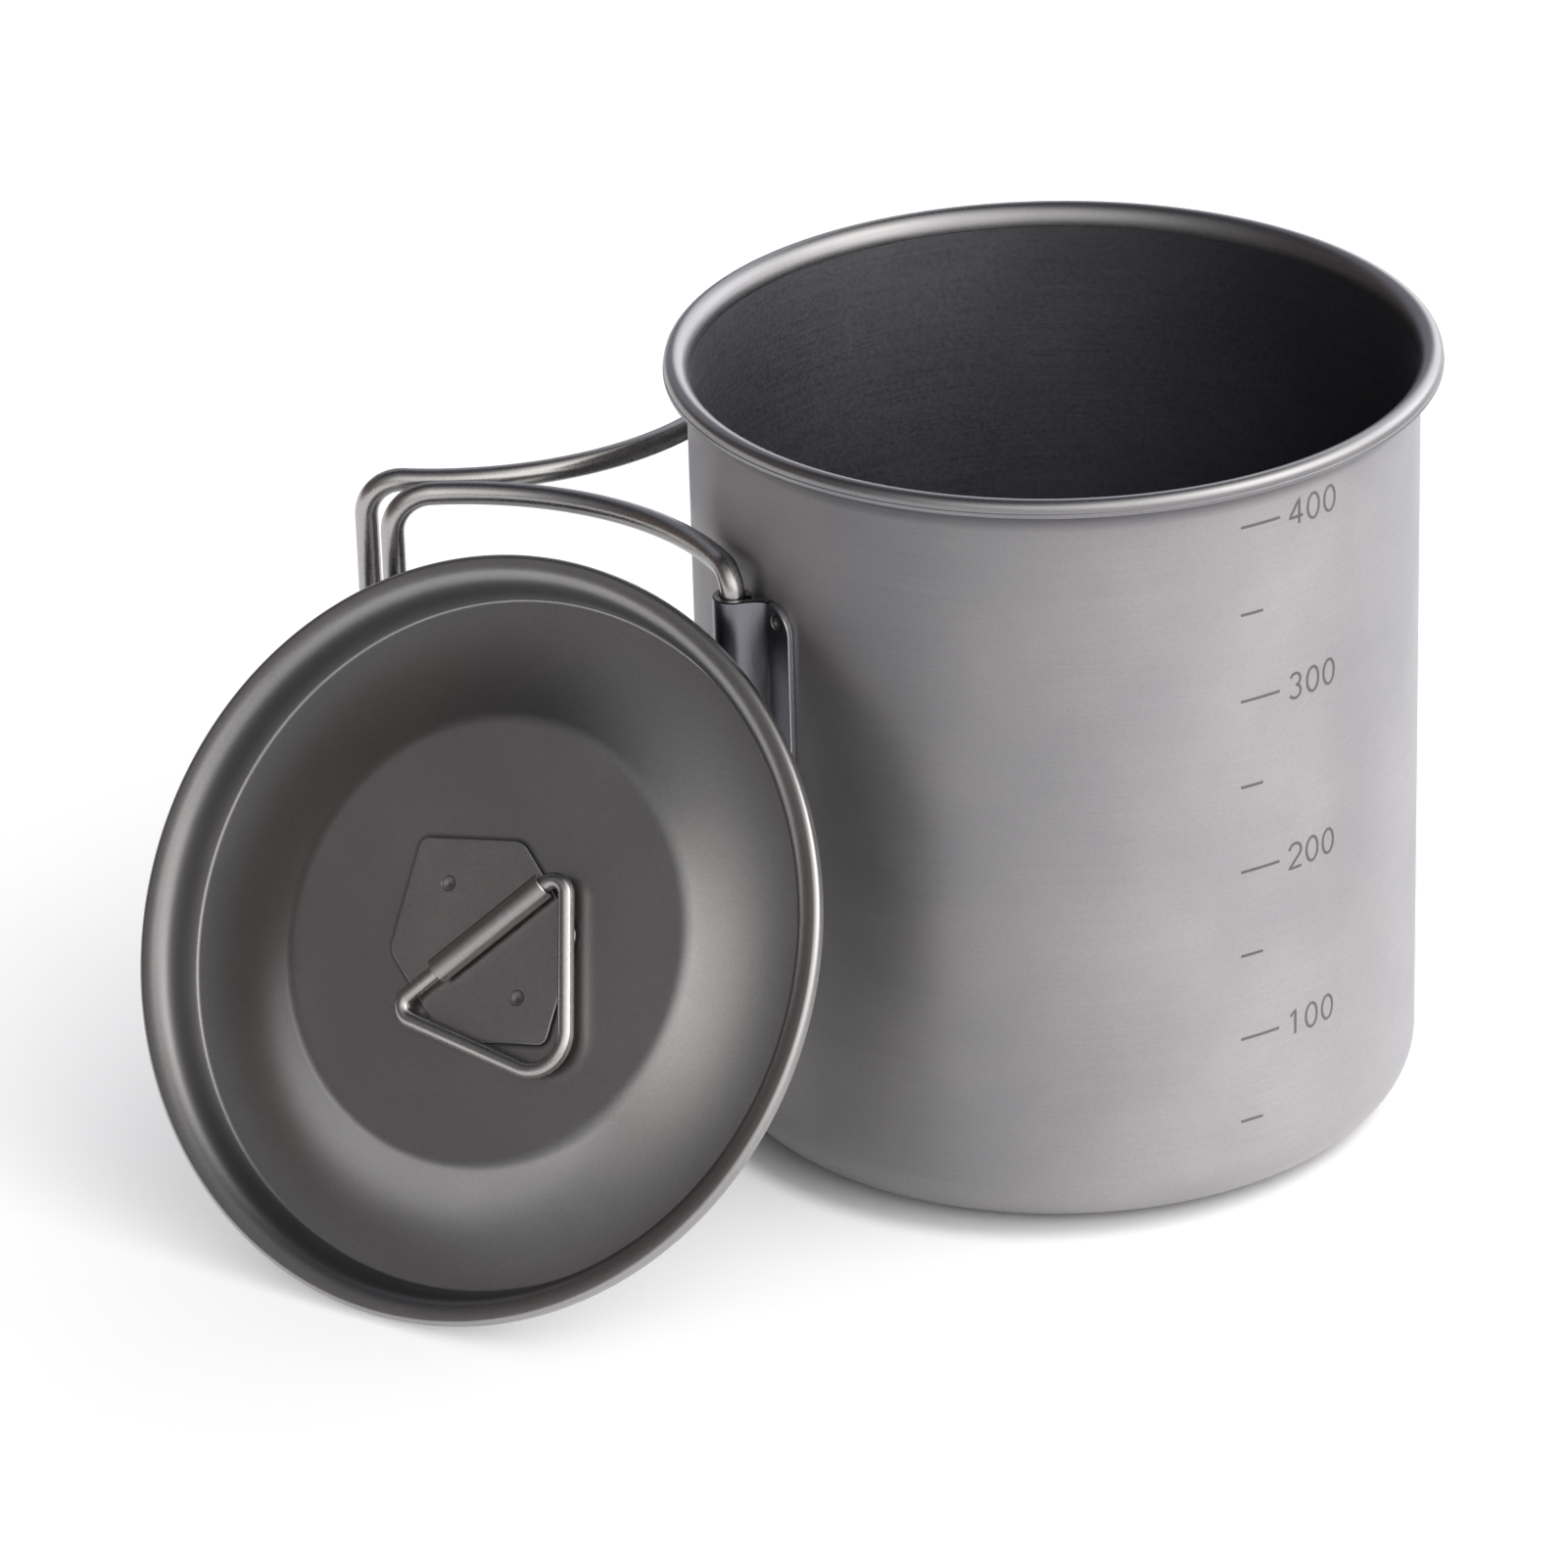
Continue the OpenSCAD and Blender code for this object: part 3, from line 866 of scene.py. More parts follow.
@dataclass
class PotShell(SubAssembly):
    """The drawn pot: flat base, rounded corner, straight wall and curled lip, and a volume scale."""

    radius: float = 40.0
    height: float = 88.4
    wall: float = 0.4
    base_corner: float = 6.0
    lip: float = 1.45
    lip_hem: float = 0.3
    crown_r: float = 41.4
    flare_z: float = 86.0
    lip_roll: float = 0.82
    lip_ledge: float = 0.08
    ledge_top: float = 0.14
    ledge_foot: float = 0.06
    lip_from: float = 0.2
    turns: int = 320
    # Rubbed bands on the lip's crown and the base's edge, and a painted shadow on the wall just under the lip
    crown_band: float = 0.9
    crown_rub: float = 0.75
    foot_r: float = 33.0
    foot_fade: float = 2.0
    foot_band: float = 0.8
    foot_rub: float = 0.4
    shelter_reach: float = 1.2
    shelter_drop: float = 3.4
    shelter_fade: float = 1.2
    shelter_dull: float = 0.8
    # The volume scale: steps in millilitres, lengths in millimetres along the wall from its middle
    scale_turn: float = 303.0
    scale_step: int = 50
    scale_top: int = 400
    number_each: int = 100
    tick_start: float = -4.6
    tick_end: float = 0.4
    short_tick_end: float = -1.8
    number_start: float = 1.7
    digit_height: float = 2.9
    digit_pitch: float = 0.86
    stroke: float = 0.34
    mark_lift: float = 0.012
    mark_sink: float = 0.03

    # Where the middle of what a rounded corner takes away lies, as a share of its radius
    CORNER_MIDDLE: ClassVar[float] = 0.22

    def section(self) -> list[Point2]:
        """The sheet's section.

        Returns:
            Its closed outline, from the axis inside to the axis outside.
        """
        half = self.wall / 2
        flat_r, wall_r = self.radius - self.base_corner, self.radius - half
        lip_z, roll_z = self.height - self.lip, self.height - half - self.lip_roll
        wide, high = self.crown_r - self.radius + half, self.height - half - self.flare_z
        edge = self.crown_r + self.lip_roll
        ledge = edge + self.lip_ledge
        flare = arc((0.0, 0.0), 1.0, 180, 90, steps=28)
        middle = chain(
            line((0.0, half), (flat_r, half), step=1.5),
            arc((flat_r, self.base_corner), self.base_corner - half, -90, 0, steps=24),
            line((wall_r, self.base_corner), (wall_r, self.flare_z), step=2.0),
            [(self.crown_r + wide * x, self.flare_z + high * y) for x, y in flare],
            arc((self.crown_r, roll_z), self.lip_roll, 90, 0, steps=14),
            line((edge, roll_z), (edge, lip_z + self.ledge_top), step=0.1),
            line((ledge, lip_z + self.ledge_foot), (ledge, lip_z - self.lip_hem), step=0.08),
        )
        return sheet_section(middle, self.wall)

    def rub(self, r: float, z: float) -> float:
        """How rubbed the shell is, and where shade is painted on it.

        Args:
            r: a point's radius.
            z: its height.

        Returns:
            More than 0 on the lip's crown and the base's edge, less on the wall just under the curl, where
            the lip's shadow is painted.
        """
        drop = self.height - z
        # Painted shadow of the lip: the wall under the curl is darkened most near the lip, fading downward
        if -TINY < r - self.radius < self.shelter_reach and self.lip < drop < self.shelter_drop:
            return -self.shelter_dull * min(1.0, (self.shelter_drop - drop) / self.shelter_fade)
        crown = max(0.0, 1 - drop / self.crown_band)
        outward = max(0.0, min(1.0, (r - self.foot_r) / self.foot_fade))
        foot = max(0.0, 1 - abs(z) / self.foot_band) * outward
        return min(1.0, self.crown_rub * crown + self.foot_rub * foot)

    def level(self, millilitres: float) -> float:
        """How high a filling stands.

        Args:
            millilitres: the filling.

        Returns:
            The height of its surface.
        """
        inner = self.radius - self.wall
        corner = self.base_corner - self.wall
        lost_area = (1 - math.pi / 4) * corner * corner
        lost = lost_area * math.tau * (inner - self.CORNER_MIDDLE * corner)
        return self.wall + (millilitres * MM3_PER_ML + lost) / (math.pi * inner * inner)

    def stroke_path(self, draft: MeshDraft, path: Sequence[Point2]) -> None:
        """Lays a thin marked strip on the wall.

        Args:
            draft: the draft that the strip is added to.
            path: the strip's middle line, as (right, up) from the scale's foot.
        """
        dense = chain(*(line(a, b, step=0.4) for a, b in zip(path, path[1:])))
        left, right = sides_of(dense, [self.stroke / 2] * len(dense))
        spots = [left, left, right, right]
        rows = []
        for edge, lift in zip(spots, (-self.mark_sink, self.mark_lift, self.mark_lift, -self.mark_sink)):
            row = []
            for s, z in edge:
                turn = math.radians(self.scale_turn) + s / self.radius
                r = self.radius + lift
                row.append(draft.point((r * math.cos(turn), r * math.sin(turn), z)))
            rows.append(row)
        draft.grid([*rows, rows[0]], [*spots, spots[0]])
        for end in (0, -1):
            draft.face([row[end] for row in rows], [edge[end] for edge in spots])

    def volume_scale(self) -> MeshDraft:
        """Plain volume marks.

        Returns:
            A line at each step of the scale, and a longer one with its number at each full hundred.
        """
        draft = MeshDraft()
        size = self.digit_height
        for millilitres in range(self.scale_step, self.scale_top + 1, self.scale_step):
            up = self.level(millilitres)
            full = millilitres % self.number_each == 0
            end = self.tick_end if full else self.short_tick_end
            self.stroke_path(draft, [(self.tick_start, up), (end, up)])
            for place, figure in enumerate(str(millilitres) if full else ""):
                start = self.number_start + place * self.digit_pitch * size
                for path in FIGURES[figure]:
                    self.stroke_path(draft, [(start + x * size, up + (y - 0.5) * size) for x, y in path])
        return draft

    def build(self) -> None:
        """Makes the shell, with its three finishes, and its scale."""
        section = self.section()
        shell = lathe(section, self.rub, self.turns)
        piece = self.place(shell, "pot_shell", Finishes.DRAWN, "pot", "titanium_pot", ["pot_body"])
        for finish in (Finishes.INSIDE, Finishes.LIP):
            piece.data.materials.append(self.finishes.get(finish))
        lip_r = self.radius + self.lip_from
        lip_rows = [k for k, (r, z) in enumerate(section) if z > self.flare_z or r > lip_r]
        for number, face in enumerate(piece.data.polygons):
            row = number // self.turns
            face.material_index = 1 if row < lip_rows[0] else 2 if row <= lip_rows[-1] else 0
        self.place(self.volume_scale(), "volume_scale", Finishes.MARK, "pot", "titanium_pot")


@dataclass
class HandleBracket(SubAssembly):
    """A rolled strip: its wing is spot welded to the wall, its barrel holds a handle's pins."""

    side: Side = Side.FRONT
    pivot: HandlePivot = HandlePivot()
    pot_r: float = 40.0
    sheet: float = 0.8
    bore: float = 1.38
    wing: float = 7.0
    wing_corner: float = 3.2
    height: float = 44.2
    edge: float = 0.12
    edge_rub: float = 0.7
    # The bend from the wing to the barrel, and the barrel's ends
    leave: float = 4.1
    leave_pull: float = 1.3
    meet_pull: float = 1.2
    meet_deg: float = 72.0
    free_deg: float = -222.0
    # The spot welds and their seats
    weld_r: float = 0.8
    weld_gap: float = 0.05
    weld_inset: float = 1.7
    weld_end: float = 1.9
    weld_rim: float = 0.05
    weld_dip: float = 0.2
    weld_foot: float = 0.34
    seat_dip: float = 0.3
    seat_edge: float = 0.08
    seat_fall: float = 0.12
    # The mesh: rows are closer together at the ends and the welds
    wing_steps: int = 40
    row_step: float = 2.0
    fine_step: float = 0.1
    weld_rows: int = 12
    end_rows: int = 32
    least_step: float = 0.04

    def weld_spots(self) -> list[Point2]:
        """The welds' places on the wing: along the wall from the barrel, and up from its middle."""
        rise = self.height / 2 - self.weld_end
        return [(self.wing - self.weld_inset, step * rise) for step in (-1, 0, 1)]

    def rows(self) -> list[float]:
        """Heights of the mesh rows.

        Returns:
            The heights from the bracket's middle, from its foot to its top.
        """
        half = self.height / 2
        last = half - self.edge
        marks = {-last, last}
        marks.update(-half + self.row_step * k for k in range(1, int(self.height / self.row_step)))
        for _, up in self.weld_spots():
            marks.update(up + self.fine_step * k for k in range(-self.weld_rows, self.weld_rows + 1))
        for k in range(self.end_rows):
            marks.update((last - self.fine_step * k, -last + self.fine_step * k))
        kept: list[float] = []
        for z in sorted(m for m in marks if abs(m) <= last + TINY):
            if not kept or z - kept[-1] > self.least_step:
                kept.append(z)
        return [-half, *kept, half]

    def middle_line(self, cut: float) -> list[Point2]:
        """The strip's middle line, from the wing's edge over the outside of the pins and back beneath them.

        Args:
            cut: how much shorter the wing is at this height.

        Returns:
            Points in the barrel's own frame, with x pointing away from the pot's axis.
        """
        run = self.pot_r + self.sheet / 2
        roll = self.bore + self.sheet / 2
        length = self.wing - cut - self.leave
        shares = [1 - k / self.wing_steps for k in range(self.wing_steps + 1)]
        turns = [(self.leave + length * share) / self.pot_r for share in shares]
        wing = [(run * math.cos(t), run * math.sin(t)) for t in turns]
        barrel = arc((self.pivot.radius, 0.0), roll, self.meet_deg, self.free_deg, steps=52)
        meet = math.radians(self.meet_deg)
        (x, y), (end_x, end_y) = wing[-1], barrel[0]
        back = (end_x - self.meet_pull * math.sin(meet), end_y + self.meet_pull * math.cos(meet))
        rise = bezier((wing[-1], (x, y - self.leave_pull), back, barrel[0]), steps=16)
        return [*wing, *rise[1:-1], *barrel]

    def seated(self, face: Point2, s: float, z: float) -> Point2:
        """Presses a point of the wing's face in where a weld has its seat.

        Args:
            face: the point.
            s: how far along the wall it lies.
            z: its height from the bracket's middle.

        Returns:
            The point's place in the seat, or its own where no weld is near.
        """
        gap = min(math.hypot(s - a, z - up) for a, up in self.weld_spots())
        inside = self.weld_r + self.weld_gap + self.seat_edge - gap
        dip = self.seat_dip * min(1.0, max(0.0, inside / self.seat_fall))
        shrink = 1 - dip / math.hypot(*face)
        return face[0] * shrink, face[1] * shrink

    def strip(self) -> MeshDraft:
        """The bracket's mesh.

        Returns:
            The strip, with its edges broken and a seat pressed in for each weld.
        """
        draft = MeshDraft()
        half = self.height / 2
        outer_rows, inner_rows, spots = [], [], []
        for z in self.rows():
            inset = self.edge if abs(z) > half - TINY else 0.0
            over = max(0.0, abs(z) - (half - self.wing_corner))
            path = self.middle_line(self.wing_corner - math.sqrt(max(0.0, self.wing_corner**2 - over**2)))
            thick = [self.sheet / 2 - inset] * len(path)
            thick[0] = thick[-1] = self.sheet / 2 - self.edge
            outer, inner = sides_of(path, thick)
            if math.hypot(*outer[0]) < math.hypot(*inner[0]):
                outer, inner = inner, outer
            row_out, row_in, chart, along = [], [], [], 0.0
            for k, (face, back) in enumerate(zip(outer, inner)):
                along += math.dist(path[k - 1], path[k]) if k else 0.0
                if k <= self.wing_steps:
                    face = self.seated(face, math.atan2(path[k][1], path[k][0]) * self.pot_r, z)
                rub = self.edge_rub if k in (0, len(path) - 1) or inset else 0.0
                row_out.append(draft.point((*face, z), rub))
                row_in.append(draft.point((*back, z), rub))
                chart.append((along, z))
            outer_rows.append(row_out)
            inner_rows.append(row_in)
            spots.append(chart)
        draft.sheet(outer_rows, inner_rows, spots)
        return self.turned(draft)

    def turned(self, draft: MeshDraft) -> MeshDraft:
        """Turns a draft from the barrel's own frame to its place on the wall.

        Args:
            draft: the draft, which is changed.

        Returns:
            The draft, or its twin on the rear side.
        """
        turn = math.radians(180 + self.pivot.degrees)
        c, s, up = math.cos(turn), math.sin(turn), self.pivot.middle_z
        draft.points = [(x * c - y * s, x * s + y * c, z + up) for x, y, z in draft.points]
        return draft if self.side is Side.FRONT else draft.mirrored()

    def nuggets(self) -> MeshDraft:
        """The spot welds.

        Returns:
            A small hollow button in each seat.
        """
        button = weld_button(self.weld_r, self.weld_rim, self.weld_dip, self.weld_foot, rub=0.0, turns=32)
        draft = MeshDraft()
        for s, up in self.weld_spots():
            turn = s / self.pot_r
            out = Vector((math.cos(turn), math.sin(turn), 0))
            right = Vector((-math.sin(turn), math.cos(turn), 0))
            foot = out * (self.pot_r + self.sheet) + Vector((0, 0, up))
            draft.join(
                button, lambda p, f=foot, o=out, r=right: f + o * p[2] + r * p[0] + Vector((0, 0, p[1]))
            )
        return self.turned(draft)

    def build(self) -> None:
        """Makes the bracket and its welds."""
        end = self.side.value
        self.place(self.strip(), f"{end}_strip", Finishes.ROLLED, "pot", "titanium_sheet", [f"{end}_bracket"])
        self.place(self.nuggets(), f"{end}_nuggets", Finishes.WELD, "pot", "titanium_sheet", [f"{end}_welds"])


@dataclass
class WireHandle(SubAssembly):
    """A handle bent from one wire: pins in the barrel, two curved arms and an upright grip."""

    side: Side = Side.FRONT
    pivot: HandlePivot = HandlePivot()
    wire_d: float = 2.6
    height: float = 49.6
    arc_r: float = 32.7
    arc_deg: float = 68.7
    lead: float = 1.2
    pin_bend: float = 2.6
    grip_bend: float = 4.4
    pin_depth: float = 9.0
    front_grip_y: float = 0.35
    grip_gap: float = 2.3

    def heading(self) -> float:
        """The way in which the arm leaves the barrel.

        Returns:
            Its angle about Z in degrees, on the front side.
        """
        turn = math.radians(self.arc_deg)
        x = self.pin_bend + self.lead + self.arc_r * math.sin(turn) + self.grip_bend * math.cos(turn)
        y = self.arc_r * (1 - math.cos(turn)) + self.grip_bend * math.sin(turn)
        pivot_y = -self.pivot.place()[1]
        reach = pivot_y + self.front_grip_y
        if self.side is Side.REAR:
            reach = pivot_y - (self.front_grip_y + self.wire_d + self.grip_gap)
        return 180 - math.degrees(math.asin(reach / math.hypot(x, y))) - math.degrees(math.atan2(y, x))

    def half_path(self) -> list[Vector]:
        """The wire's middle line from its upper pin to the top of the grip.

        Returns:
            Points about the handle's middle, where the arm leaves the barrel along +X.
        """
        top = self.height / 2
        bend_z = top - self.pin_bend
        start = self.pin_bend + self.lead
        pin = line((0.0, bend_z - self.pin_depth), (0.0, bend_z), step=0.8)
        bend = arc((self.pin_bend, bend_z), self.pin_bend, 180, 90, steps=18)
        lead = line((self.pin_bend, top), (start, top), step=0.4)
        sweep = arc((start, self.arc_r), self.arc_r, -90, self.arc_deg - 90, steps=60)
        path = [Vector((x, 0, z)) for x, z in (*pin, *bend[1:], *lead[1:])]
        path += [Vector((x, y, top)) for x, y in sweep[1:]]
        end, turn = path[-1], math.radians(self.arc_deg)
        along = Vector((math.cos(turn), math.sin(turn), 0))
        for reach, drop in arc((0.0, -self.grip_bend), self.grip_bend, 90, 0, steps=18)[1:]:
            path.append(end + along * reach + Vector((0, 0, drop)))
        return path

    def build(self) -> None:
        """Makes the handle."""
        upper = self.half_path()
        lower = [Vector((p.x, p.y, -p.z)) for p in reversed(upper)]
        heights = line((0.0, upper[-1].z), (0.0, lower[0].z), step=1.5)[1:-1]
        grip = [Vector((upper[-1].x, upper[-1].y, z)) for _, z in heights]
        pivot = Vector(self.pivot.place())
        spin = Matrix.Rotation(math.radians(self.heading()), 3, "Z")
        draft = wire([pivot + spin @ p for p in (*upper, *grip, *lower)], self.wire_d / 2, closed=False)
        if self.side is Side.REAR:
            draft = draft.mirrored()
        name = f"{self.side.value}_handle"
        self.place(draft, f"{name}_wire", Finishes.WIRE, name, "titanium_wire", [name])


@dataclass
class DropInLid(SubAssembly):
    """The pressed lid: curled edge, flange, step, cove and raised flat centre; it leans on the barrel."""

    pivot: HandlePivot = HandlePivot()
    wall: float = 0.4
    edge_r: float = 41.9
    step_r: float = 37.85
    step_taper: float = 0.64
    groove: float = 5.8
    groove_inset: float = 0.02
    groove_reach: float = 0.6
    disc_depth: float = 3.15
    disc_r: float = 24.6
    crease_reach: float = 0.9
    cove_bend: float = 16.0
    shoulder: float = 1.5
    hem: float = 0.6
    hem_drop: float = 0.8
    # The soft roll from the step to the flange: where it starts on the step, and how far its ends pull
    roll_from: float = 0.42
    roll_pull: float = 0.62
    flange_pull: float = 1.9
    turns: int = 320
    # How it leans on the front bracket's barrel
    lean: float = 32.1
    turn: float = -32.7
    lean_gap: float = 1.5
    lean_shift: float = 18.3
    barrel_r: float = 2.18
    # Painted shade on the steep step, and the rubbed edge
    step_inside: float = 0.4
    step_outside: float = 1.0
    step_top: float = 0.2
    step_dull: float = 0.8
    step_fade: float = 0.6
    hem_rub: float = 0.2
    hem_rub_inset: float = 0.2
    hem_rub_band: float = 0.9

    def matrix(self) -> Matrix:
        """Where the lid leans.

        Returns:
            The place of its own frame, in which it lies flat with the flange's top at z = 0.
        """
        lean, turn = math.radians(self.lean), math.radians(self.turn)
        pivot_x, pivot_y, _ = self.pivot.place()
        z = self.edge_r * math.cos(lean) + (self.hem + self.hem_drop) * math.sin(lean)
        reach = self.edge_r * math.sin(lean) + self.barrel_r + self.lean_gap
        x = pivot_x + reach * math.sin(turn) - self.lean_shift * math.cos(turn)
        y = pivot_y - reach * math.cos(turn) - self.lean_shift * math.sin(turn)
        spin = Matrix.Rotation(turn, 4, "Z") @ Matrix.Rotation(math.radians(90 - self.lean), 4, "X")
        return Matrix.Translation(Vector((x, y, z)) * MM) @ spin

    def cove(self) -> list[Point2]:
        """The middle line of the hollow between the flat centre and the step.

        Returns:
            Points of one arc, from the centre out.
        """
        wide, deep = self.step_r - self.disc_r, self.groove - self.disc_depth
        fall, bend = math.atan2(deep, wide), math.radians(self.cove_bend)
        radius = math.hypot(wide, deep) / 2 / math.sin(bend)
        centre = (
            (self.step_r + self.disc_r) / 2 + radius * math.cos(bend) * math.sin(fall),
            -(self.groove + self.disc_depth) / 2 + radius * math.cos(bend) * math.cos(fall),
        )
        low = 270 - math.degrees(fall)
        return arc(centre, radius + self.wall / 2, low - self.cove_bend, low + self.cove_bend, steps=40)

    def section(self) -> list[Point2]:
        """The sheet's section.

        Returns:
            Its closed outline, from the axis on top to the axis below.
        """
        half = self.wall / 2
        slope = math.radians(90) - math.atan2(self.groove - self.shoulder, self.step_taper)
        foot = (self.step_r + half * math.cos(slope), -self.groove - half * math.sin(slope))
        inner = self.shoulder - half
        head = (
            self.step_r + self.shoulder + self.step_taper - inner * math.cos(slope),
            -self.shoulder + inner * math.sin(slope),
        )
        hem_r, side_r = self.edge_r - self.hem, self.edge_r - half
        start, end = between(foot, head, self.roll_from), (hem_r, -half)
        pull = between(foot, head, self.roll_from + self.roll_pull)
        crease = (self.disc_r, -self.disc_depth - half)
        corner = (foot[0] - self.groove_inset, foot[1] - half)
        middle = chain(
            line((0.0, crease[1]), crease, step=0.8),
            self.cove()[1:],
            [corner],
            line(foot, start, step=0.25),
            bezier((start, pull, (hem_r - self.flange_pull, -half), end), steps=32),
            arc((hem_r, -self.hem), self.hem - half, 90, 0, steps=14),
            line((side_r, -self.hem), (side_r, -self.hem - self.hem_drop), step=0.1),
        )
        middle = ease_corner(middle, crease, self.crease_reach)
        middle = ease_corner(middle, corner, self.groove_reach, steps=16)
        return sheet_section(middle, self.wall)

    def rub(self, r: float, z: float) -> float:
        """How rubbed the lid is, and where shade is painted on it.

        Args:
            r: a point's radius.
            z: its height.

        Returns:
            More than 0 on its curled edge, less than 0 on the steep step, where shade is painted, darkest
            halfway down.
        """
        steep = self.step_r - self.step_inside < r < self.edge_r - self.step_outside
        # Painted shade: the steep step is darkened, most at its middle height
        if steep and -self.groove < z < -self.step_top:
            share = min(1.0, (-self.step_top - z) / (self.groove - self.step_top))
            return -self.step_dull * math.sin(math.pi * share) ** self.step_fade
        return self.hem_rub * max(0.0, 1 - abs(r - self.edge_r + self.hem_rub_inset) / self.hem_rub_band)

    def build(self) -> None:
        """Makes the lid."""
        shell = lathe(self.section(), self.rub, self.turns)
        self.place(shell, "lid_shell", Finishes.BLASTED, "lid", "titanium_lid", ["lid_body"], self.matrix())


@dataclass
class LoopPlate(SubAssembly):
    """The six-sided plate on the lid, with its rolled knuckle and its two spot welds."""

    lid: DropInLid | None = None
    turn: float = 49.5
    sheet: float = 0.5
    half_w: float = 9.8
    half_flat: float = 6.2
    tip: float = 14.2
    corner: float = 1.1
    edge: float = 0.1
    die_roll: float = 0.14
    border: float = 0.2
    # Painted shadow round its foot: a skirt on the lid whose width is the seam, darkest at the plate and
    # faint at its outer rim
    seam: float = 0.6
    seam_lift: float = 0.012
    seam_dull: float = 0.1
    foot_rows: Point2 = (0.03, 0.08)
    # The spot welds and their seats
    weld_r: float = 0.8
    weld_gap: float = 0.05
    weld_y: float = 7.8
    weld_rim: float = 0.02
    weld_dip: float = 0.12
    weld_foot: float = 0.28
    weld_dull: float = 0.4
    seat_border: float = 0.25
    seat_round: float = 0.04
    seat_drop: float = 0.06
    seat_floor: float = 0.2
    weld_turns: int = 40
    # The knuckle round the loop's bar
    wire_r: float = 0.9
    play: float = 0.08
    lift: float = 0.3
    knuckle_inset: float = 3.9
    knuckle_foot: float = 0.06
    knuckle_rows: int = 20
    knuckle_rub: float = 0.6
    slit: float = 0.6
    slit_deg: float = 4.0
    knuckle_step: float = 0.3

    def pivot_z(self) -> float:
        """Height of the loop's pivot line above the lid's flat centre."""
        return self.sheet + self.wire_r + self.lift

    def matrix(self) -> Matrix:
        """The plate's frame: x along the pivot line, z = 0 on the lid's flat centre."""
        shift = Matrix.Translation((0, 0, -self.lid.disc_depth * MM))
        return self.lid.matrix() @ shift @ Matrix.Rotation(math.radians(self.turn), 4, "Z")

    def outline(self, inset: float) -> list[Point2]:
        """The plate's outline with blunted corners.

        Args:
            inset: how far it is drawn in.

        Returns:
            The points round it, each once.
        """
        side = [(self.half_w, -self.half_flat), (self.half_w, self.half_flat), (0.0, self.tip)]
        corners = [*side, *((-x, -y) for x, y in side)]
        around: list[Point2] = []
        for k, here in enumerate(corners):
            beside = corners[k - 1], corners[(k + 1) % len(corners)]
            first, last = (between(here, p, self.corner / math.dist(here, p)) for p in beside)
            around += bezier((first, here, last), steps=6)
        shrunk = []
        for k, (x, y) in enumerate(around):
            before, after = around[k - 1], around[(k + 1) % len(around)]
            share = inset / math.dist(before, after)
            shrunk.append((x - (after[1] - before[1]) * share, y + (after[0] - before[0]) * share))
        return shrunk

    def plate(self) -> MeshDraft:
        """The flat plate.

        Returns:
            The plate with rolled edges, painted shade on its side walls, a painted shadow skirt round its
            foot and a round seat for each weld.
        """
        draft = MeshDraft()
        bow = arc((self.die_roll, self.sheet - self.die_roll), self.die_roll, 180, 90, steps=5)
        foot = [(-self.seam, self.seam_lift), *((0.0, z) for z in self.foot_rows)]
        loops = []
        for inset, z in (*foot, *bow, (self.die_roll + self.border, self.sheet)):
            # Painted shade: the side walls up to half the rolled edge are dark, and the skirt fades from that
            # dark to a faint shade at its rim
            rub = -1.0 if z < self.sheet - self.die_roll / 2 else 0.0
            if inset < 0:
                rub = -self.seam_dull
            row = [draft.point((x, y, z), rub) for x, y in self.outline(inset)]
            loops.append(row + row[:1])
        draft.grid(loops)
        draft.face(loops[0][-2::-1])
        seat = self.weld_r + self.weld_gap
        profile = (
            (seat + self.seat_border, self.sheet),
            (seat + self.seat_round, self.sheet),
            (seat, self.sheet - self.seat_drop),
            (seat, self.seat_floor),
        )
        rims = [loops[-1][:-1]]
        for middle in (-self.weld_y, self.weld_y):
            rows = []
            for r, z in profile:
                row = [draft.point((x, middle + y, z)) for x, y in circle(r, self.weld_turns)]
                rows.append(row + row[:1])
            draft.grid(rows)
            draft.face(rows[-1][:-1])
            rims.append(rows[0][:-1])
        draft.fill(rims)
        return draft

    def knuckle(self) -> MeshDraft:
        """The rolled knuckle.

        Returns:
            A strip that rises from the plate and wraps the loop's bar.
        """
        draft = MeshDraft()
        roll = self.wire_r + self.play + self.sheet / 2
        up = self.pivot_z()
        free = math.degrees(math.asin((self.sheet + self.slit - up) / roll))
        path = chain(
            line((roll, self.knuckle_foot), (roll, up), self.knuckle_step),
            arc((0.0, up), roll, 0, 180 - free - self.slit_deg, steps=44),
        )
        thick = [self.sheet / 2] * len(path)
        thick[-1] -= self.edge
        low, high = self.knuckle_inset - self.half_w, self.half_w
        inner_low, run = low + self.edge, high - low - 2 * self.edge
        between_ends = [inner_low + run * k / self.knuckle_rows for k in range(self.knuckle_rows + 1)]
        outer_rows, inner_rows, spots = [], [], []
        for x in (low, *between_ends, high):
            inset, rub = (self.edge, self.knuckle_rub) if x in (low, high) else (0.0, 0.0)
            outer, inner = sides_of(path, [t - inset for t in thick])
            outer_rows.append([draft.point((x, y, z), rub) for y, z in outer])
            inner_rows.append([draft.point((x, y, z), rub) for y, z in inner])
            spots.append([(x, self.knuckle_step * k) for k in range(len(path))])
        draft.sheet(outer_rows, inner_rows, spots)
        return draft

    def nuggets(self) -> MeshDraft:
        """The two spot welds.

        Returns:
            A small hollow button in each seat, darkened by painted shade.
        """
        # Painted shade darkens each nugget
        button = weld_button(
            self.weld_r, self.weld_rim, self.weld_dip, self.weld_foot, -self.weld_dull, self.weld_turns
        )
        draft = MeshDraft()
        for middle in (-self.weld_y, self.weld_y):
            draft.join(button, lambda p, y=middle: (p[0], y + p[1], self.sheet + p[2]))
        return draft

